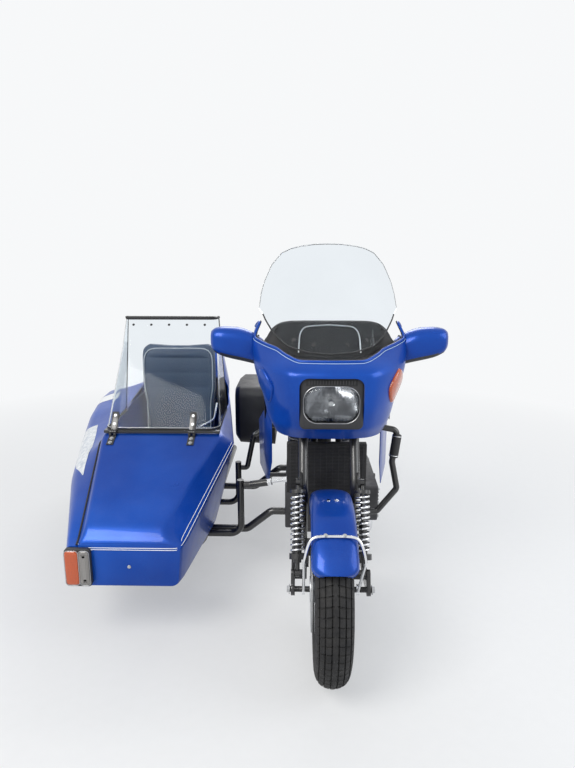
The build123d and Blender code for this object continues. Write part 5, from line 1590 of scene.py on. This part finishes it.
def add_tank():
    """The tank with its filler cap."""
    rings = []
    for y in spread(0.565, 0.960, 40):
        _, half, low, high, corner = read_table(TANK_ROWS, y)
        rings.append(box_ring(at(0, y, (low + high) / 2), ACROSS, UPWARDS, 2 * half, high - low, corner, 10))
    put_piece("tank_shell", closed_form(rings, 40.0), "blue_paint", replaced="fuel_tank")
    cap = lathe(at(0, 0.745, 0.9745), UPWARDS, [(-0.004, 0.0), (-0.004, 0.041), (0.000, 0.041),
                                                (0.0015, 0.0395), (0.0016, 0.030), (0.0004, 0.028),
                                                (0.0004, 0.0)], 64, ring_closed=False)
    put_piece("tank_cap", cap, "steel")


# Name, right edge, left edge, finish
REAR_LENSES = [("brake_lens", -0.058, 0.058, "red_lens"), ("turn_lens_right", -0.093, -0.060, "amber_lens"),
               ("turn_lens_left", 0.060, 0.093, "amber_lens")]


def add_rear_lamp():
    """The rear lamp: red lens between two amber ones in a black case."""
    for name, low, high, finish in REAR_LENSES:
        rings = [box_ring(at((low + high) / 2, y, 0.795), ACROSS, UPWARDS, high - low - trim, 0.064 - trim,
                          0.007)
                 for y, trim in ((1.898, 0.0), (1.918, 0.0), (1.923, 0.006), (1.9247, 0.020))]
        put_piece(name, closed_form(rings, 50.0), finish,
                  replaced="rear_lamp" if name == "brake_lens" else "")
    rings = [box_ring(at(0, y, 0.795), ACROSS, UPWARDS, 0.190 - trim, 0.070 - trim, 0.010)
             for y, trim in ((1.8805, 0.004), (1.884, 0.0), (1.908, 0.0), (1.909, 0.003))]
    put_piece("rear_lamp_case", closed_form(rings), "black_plastic")


# Side of the bike, finish, name
INDICATORS = [(1, "amber_lens", "indicator_left"), (-1, "blue_paint", "indicator_blank_right")]


def add_indicators():
    """The tall indicator lens on the left corner of the fairing and the blue blank on the right one."""
    for side, finish, name in INDICATORS:
        rings = []
        for row, depth in enumerate((-0.003, 0.0035, 0.0075, 0.0092)):
            ring = []
            trim = (0.0, 0.0, 0.04, 0.16)[row]
            for step in range(44):
                angle = 2 * pi * step / 44
                out, high = cos(angle), sin(angle)
                reach = (abs(out) ** 1.4 + abs(high) ** 1.4) ** (-1 / 1.4)
                z = 1.006 + 0.064 * high * reach * (1 - trim)
                share = 0.515 - 0.150 * out * reach * (1 - trim)
                ring.append(blend_spot(side, z, share, depth))
            rings.append([at(*point) for point in ring])
        put_piece(name, closed_form(rings, 50.0), finish,
                  replaced="side_indicators" if side > 0 else "")


def blend_spot(side, height, share, lift):
    """A point over the fairing's corner between two of its columns, lifted off by lift."""
    line = fairing_line(height)
    place = 6 + share * 24
    index = int(place)
    here = Vector(line[index]).lerp(Vector(line[index + 1]), place - index)
    run = (Vector(line[index + 1]) - Vector(line[index - 1])).normalized()
    facing = Vector((abs(run.y) * side, -abs(run.x)))
    return (side * abs(here.x) + facing.x * lift, here.y + facing.y * lift, height)


# Seats

SEAT_PRESSURE = 4.0


def pinned_pad(name, rings, seams, most, finish, replaced, voxel):
    """Swells a closed form like a stuffed cover: held at its seams and its foot, crowned between them."""
    piece = put_object(name, closed_form(rings, 60.0))
    add_modifier(piece, "REMESH", mode="VOXEL", voxel_size=voxel)
    bake_modifiers(piece, 0)
    rest = [vertex.co.copy() for vertex in piece.data.vertices]
    lowest = min(point.z for point in rest)
    held = piece.vertex_groups.new(name="held")
    kept = [index for index, point in enumerate(rest) if point.z < lowest + 0.012 or seams(point)]
    held.add(kept, 1.0, "REPLACE")
    cover = piece.modifiers.new("cover", "CLOTH")
    settings = cover.settings
    settings.quality = 4
    settings.use_pressure = True
    settings.uniform_pressure_force = SEAT_PRESSURE
    settings.vertex_group_mass = "held"
    settings.effector_weights.gravity = 0
    settings.tension_stiffness = 14
    settings.compression_stiffness = 14
    settings.bending_stiffness = 0.8
    cover.point_cache.frame_start = 1
    cover.point_cache.frame_end = 20
    for frame_number in range(1, 21):
        bpy.context.scene.frame_set(frame_number)
    bake_modifiers(piece, 0)
    for vertex, start in zip(piece.data.vertices, rest):
        move = vertex.co - start
        if move.length > most:
            vertex.co = start + move.normalized() * most
    bpy.context.scene.frame_set(1)
    smooth_mesh(piece.data, 60.0)
    finish_piece(piece, finish, replaced=replaced)


# Columns: y, half width, low z, high z, corner
SEAT_ROWS = [
    (0.966, 0.112, 0.738, 0.815, 0.026),
    (1.010, 0.125, 0.738, 0.812, 0.030),
    (1.080, 0.138, 0.738, 0.792, 0.028),
    (1.290, 0.142, 0.738, 0.792, 0.028),
    (1.345, 0.142, 0.738, 0.836, 0.034),
    (1.630, 0.140, 0.758, 0.846, 0.032),
    (1.650, 0.132, 0.772, 0.836, 0.028),
]


def add_bike_seat():
    """The long seat with its step, its cross seams and the piping along both its sides near the top."""
    rings = []
    for y in spread(0.966, 1.650, 60):
        _, half, low, high, corner = read_table(SEAT_ROWS, y)
        rings.append(box_ring(at(0, y, (low + high) / 2), ACROSS, UPWARDS, 2 * half, high - low, corner, 6))
    seam_places = [FRONT_Y + y for y in (1.08, 1.16, 1.24, 1.345, 1.43, 1.515, 1.60)]

    def on_seam(point):
        return point.z > 0.77 and any(abs(point.y - place) < 0.0035 for place in seam_places)
    pinned_pad("bike_seat", rings, on_seam, 0.009, "seat_cover", "seat", 0.006)
    piping = []
    for side in (-1, 1):
        line = []
        for y in spread(0.985, 1.640, 60):
            _, half, low, high, corner = read_table(SEAT_ROWS, y)
            line.append(at(side * (half - 0.002), y, high - corner * 0.9))
        piping.append(line)
    add_beads("bike_seat_piping", piping, 0.0030, "seat_cover")


# Columns: height, front y, rear y
BACK_ROWS = [(0.4205, 1.186, 1.290), (0.780, 1.216, 1.318), (0.920, 1.226, 1.314), (0.985, 1.242, 1.294),
             (1.002, 1.250, 1.284)]
BACK_X = -0.772


def back_flare(z):
    """How much wider the backrest's half is at a height than at its foot."""
    return 0.015 * min(max((z - 0.70) / 0.06, 0), 1)


def add_sidecar_seat():
    """The sidecar's cushion and tall back with their channels and the pale piping."""
    rings = [box_ring(at(-0.750, 1.095, z), ACROSS, REARWARDS, 0.396 - trim, 0.390 - trim, 0.030)
             for z, trim in ((0.2722, 0.010), (0.280, 0.0), (0.395, 0.0), (0.4085, 0.012))]

    def on_cushion_seam(point):
        return point.z > 0.400 and any(abs(point.y - FRONT_Y - y) < 0.004 for y in (0.985, 1.075, 1.165))
    pinned_pad("sidecar_cushion", rings, on_cushion_seam, 0.010, "sidecar_trim", "", 0.007)
    rings = []
    for z in spread(BACK_ROWS[0][0], BACK_ROWS[-1][0], 40):
        _, low_y, high_y = read_straight(BACK_ROWS, z)
        half = 0.185 + back_flare(z) - 0.034 * max(0.0, (z - 0.950) / 0.052) ** 3.0
        place = at(BACK_X, (low_y + high_y) / 2, z)
        rings.append(box_ring(place, ACROSS, REARWARDS, 2 * half, high_y - low_y, 0.024, 6))

    def on_back_seam(point):
        return any(abs(point.z - z) < 0.004 for z in (0.53, 0.61, 0.69, 0.77, 0.85, 0.93))
    pinned_pad("sidecar_backrest", rings, on_back_seam, 0.009, "sidecar_trim", "sidecar_seat", 0.007)
    line = [at(BACK_X - 0.172 - back_flare(z), read_straight(BACK_ROWS, z)[1] - 0.0065, z)
            for z in spread(0.44, 0.955, 26)]
    front = read_straight(BACK_ROWS, 0.982)[1] - 0.0065
    top = [at(x, front, 0.982) for x in spread(-0.938, -0.606, 16)]
    other = [Vector((2 * (BIKE_X + BACK_X) - point.x, point.y, point.z)) for point in reversed(line)]
    add_beads("sidecar_seat_piping", [soften_line(line + top + other, 3)], 0.0032, "pale_piping")


def dress_cad_nodes():
    """Gives each carried-over CAD node the finish that its record's slot names."""
    for row in frame["record"]["subparts"]:
        node = frame["nodes"][row["node"]]
        for place in node.material_slots:
            place.material = MATERIALS[row["material_slot"]]


# Floor, background, lights and camera

def add_backdrop_glow(tree, rays_seen, shader_output, share):
    """Mixes a shader with the plain backdrop colour where the camera, mirrors and glass see it."""
    glow = add_node(tree, "ShaderNodeEmission", Color=BACKDROP, Strength=1.0)
    mixed = tree.nodes.new("ShaderNodeMixShader")
    feed(tree, mixed,
         {0: add_math(tree, "MULTIPLY", rays_seen, share), 1: shader_output, 2: glow.outputs[0]})
    return mixed.outputs[0]


def rays_that_see(tree):
    """1 for the rays that show the backdrop: from the camera, off metal and through glass."""
    rays = add_node(tree, "ShaderNodeLightPath")
    seen = add_math(tree, "MAXIMUM", rays.outputs["Is Camera Ray"], rays.outputs["Is Glossy Ray"])
    return add_math(tree, "MAXIMUM", seen, rays.outputs["Is Transmission Ray"])


def add_floor():
    """A pale floor that keeps the vehicle's shadow and runs into the pale background."""
    bpy.ops.mesh.primitive_plane_add(size=60, location=(0, 0, 0))
    floor = bpy.context.object
    floor.name = "floor"
    made, tree, shader, place = start_material("pale_floor", (0.74, 0.74, 0.73, 1), Roughness=0.85)
    tone = add_mix(tree, vary(tree, place, 25.0, 0.0, 0.25), (0.76, 0.76, 0.75, 1), (0.68, 0.68, 0.67, 1))
    feed(tree, shader, {"Base Color": tone})
    reach = feed(tree, add_node(tree, "ShaderNodeVectorMath", {"operation": "LENGTH"}), {0: place})
    share = add_range(tree, reach.outputs["Value"], FLOOR_NEAR, FLOOR_FAR, FLOOR_GLOW, 1.0)
    surface = add_backdrop_glow(tree, rays_that_see(tree), shader.outputs[0], share)
    feed(tree, tree.nodes["Material Output"], {"Surface": surface})
    floor.data.materials.append(made)


def add_world():
    """Plain soft light from all round, with the backdrop's colour where the camera sees it."""
    world = bpy.data.worlds.new("studio")
    bpy.context.scene.world = world
    world.use_nodes = True
    tree = world.node_tree
    seen = rays_that_see(tree)
    feed(tree, tree.nodes["Background"], {"Color": add_mix(tree, seen, (0.78, 0.84, 0.95, 1), BACKDROP),
                                          "Strength": add_range(tree, seen, 0, 1, 0.45, 1.0)})


def add_light(name, place, target, size, power, color):
    """Adds a square area light that looks at a point."""
    data = bpy.data.lights.new(name, "AREA")
    data.shape = "SQUARE"
    data.size = size
    data.energy = power
    data.color = color
    lamp = bpy.data.objects.new(name, data)
    lamp.location = place
    lamp.rotation_euler = (Vector(target) - Vector(place)).to_track_quat("-Z", "Y").to_euler()
    bpy.context.collection.objects.link(lamp)


def add_camera():
    """The camera that took the photograph."""
    data = bpy.data.cameras.new("camera")
    data.lens = CAMERA_LENS
    data.sensor_width = 36
    data.sensor_fit = "AUTO"
    camera = bpy.data.objects.new("camera", data)
    camera.location = CAMERA_PLACE
    camera.rotation_euler = (radians(90 - CAMERA_PITCH), 0, radians(CAMERA_YAW))
    bpy.context.collection.objects.link(camera)
    bpy.context.scene.camera = camera


def add_stage():
    """Builds everything that isn't the vehicle."""
    bpy.context.scene.view_settings.view_transform = "Standard"
    add_floor()
    add_world()
    add_light("key", (-1.8, -3.2, 3.6), (0, 0, 0.5), 2.2, 150, (1.0, 0.98, 0.95))
    add_light("fill", (3.4, -1.6, 2.4), (0.2, 0, 0.5), 2.5, 60, (0.94, 0.97, 1.0))
    add_light("back", (0.4, 3.2, 3.4), (0, 0, 0.7), 2.5, 80, (1.0, 1.0, 1.0))
    add_camera()


# CAD node, edge width, finish, slot, body
BEVELLED_NODES = [
    ("exhaust", 0.006, "chrome", "chrome", "chassis"),
    ("fairing_lowers", 0.0015, "blue_paint", "blue_paint", "chassis"),
    ("side_panels", 0.002, "blue_paint", "blue_paint", "chassis"),
    ("tail", 0.006, "blue_paint", "blue_paint", "chassis"),
    ("pannier", 0.008, "black_plastic", "black_plastic", "chassis"),
    ("calipers", 0.003, "dark_cast", "black_metal", "steering"),
    ("engine", 0.006, "dark_cast", "cast_metal", "chassis"),
    ("swing_arm", 0.004, "black_metal", "black_metal", "chassis"),
    ("link_arms", 0.002, "black_metal", "black_metal", "steering"),
    ("radiator", 0.002, "matt_black", "black_metal", "chassis"),
    ("front_rim", 0.0015, "wheel", "wheel", "front_wheel"),
    ("rear_rim", 0.0015, "wheel", "wheel", "rear_wheel"),
    ("sidecar_rim", 0.0015, "wheel", "wheel", "sidecar_wheel"),
    ("screen_hinges", 0.0006, "black_metal", "black_metal", "chassis"),
    ("sidecar_screen_frame", 0.001, "black_metal", "black_metal", "sidecar_windscreen"),
    ("rack", 0.001, "black_metal", "black_metal", "chassis"),
]


def dress_bevelled_nodes():
    """Stands a copy with broken edges in for each plain CAD form."""
    for row in BEVELLED_NODES:
        bevelled_copy(*row)


add_stage()
dress_cad_nodes()
add_fairing()
add_windscreen()
add_mirrors()
add_headlamp()
add_dash()
add_indicators()
add_front_mudguard()
add_engine_bay()
add_tyre("front_tyre_tread", "front_tyre", at(0, 0, AXLE_HEIGHT), 0.3148, 0.1246, "front_wheel", 64, 0.9)
add_tyre("rear_tyre_tread", "rear_tyre", at(0, 1.516, 0.318), 0.3178, 0.1346, "rear_wheel", 64, 0.9)
add_tyre("sidecar_tyre_tread", "sidecar_tyre", at(-1.190, SIDECAR_AXLE_Y, SIDECAR_AXLE_Z), 0.2998, 0.1246,
         "sidecar_wheel", 60, 0.5)
add_sidecar_body()
add_pontoon()
add_films()
add_sidecar_lamp()
add_sidecar_screen()
add_tank()
add_rear_lamp()
add_bike_seat()
add_sidecar_seat()
dress_bevelled_nodes()
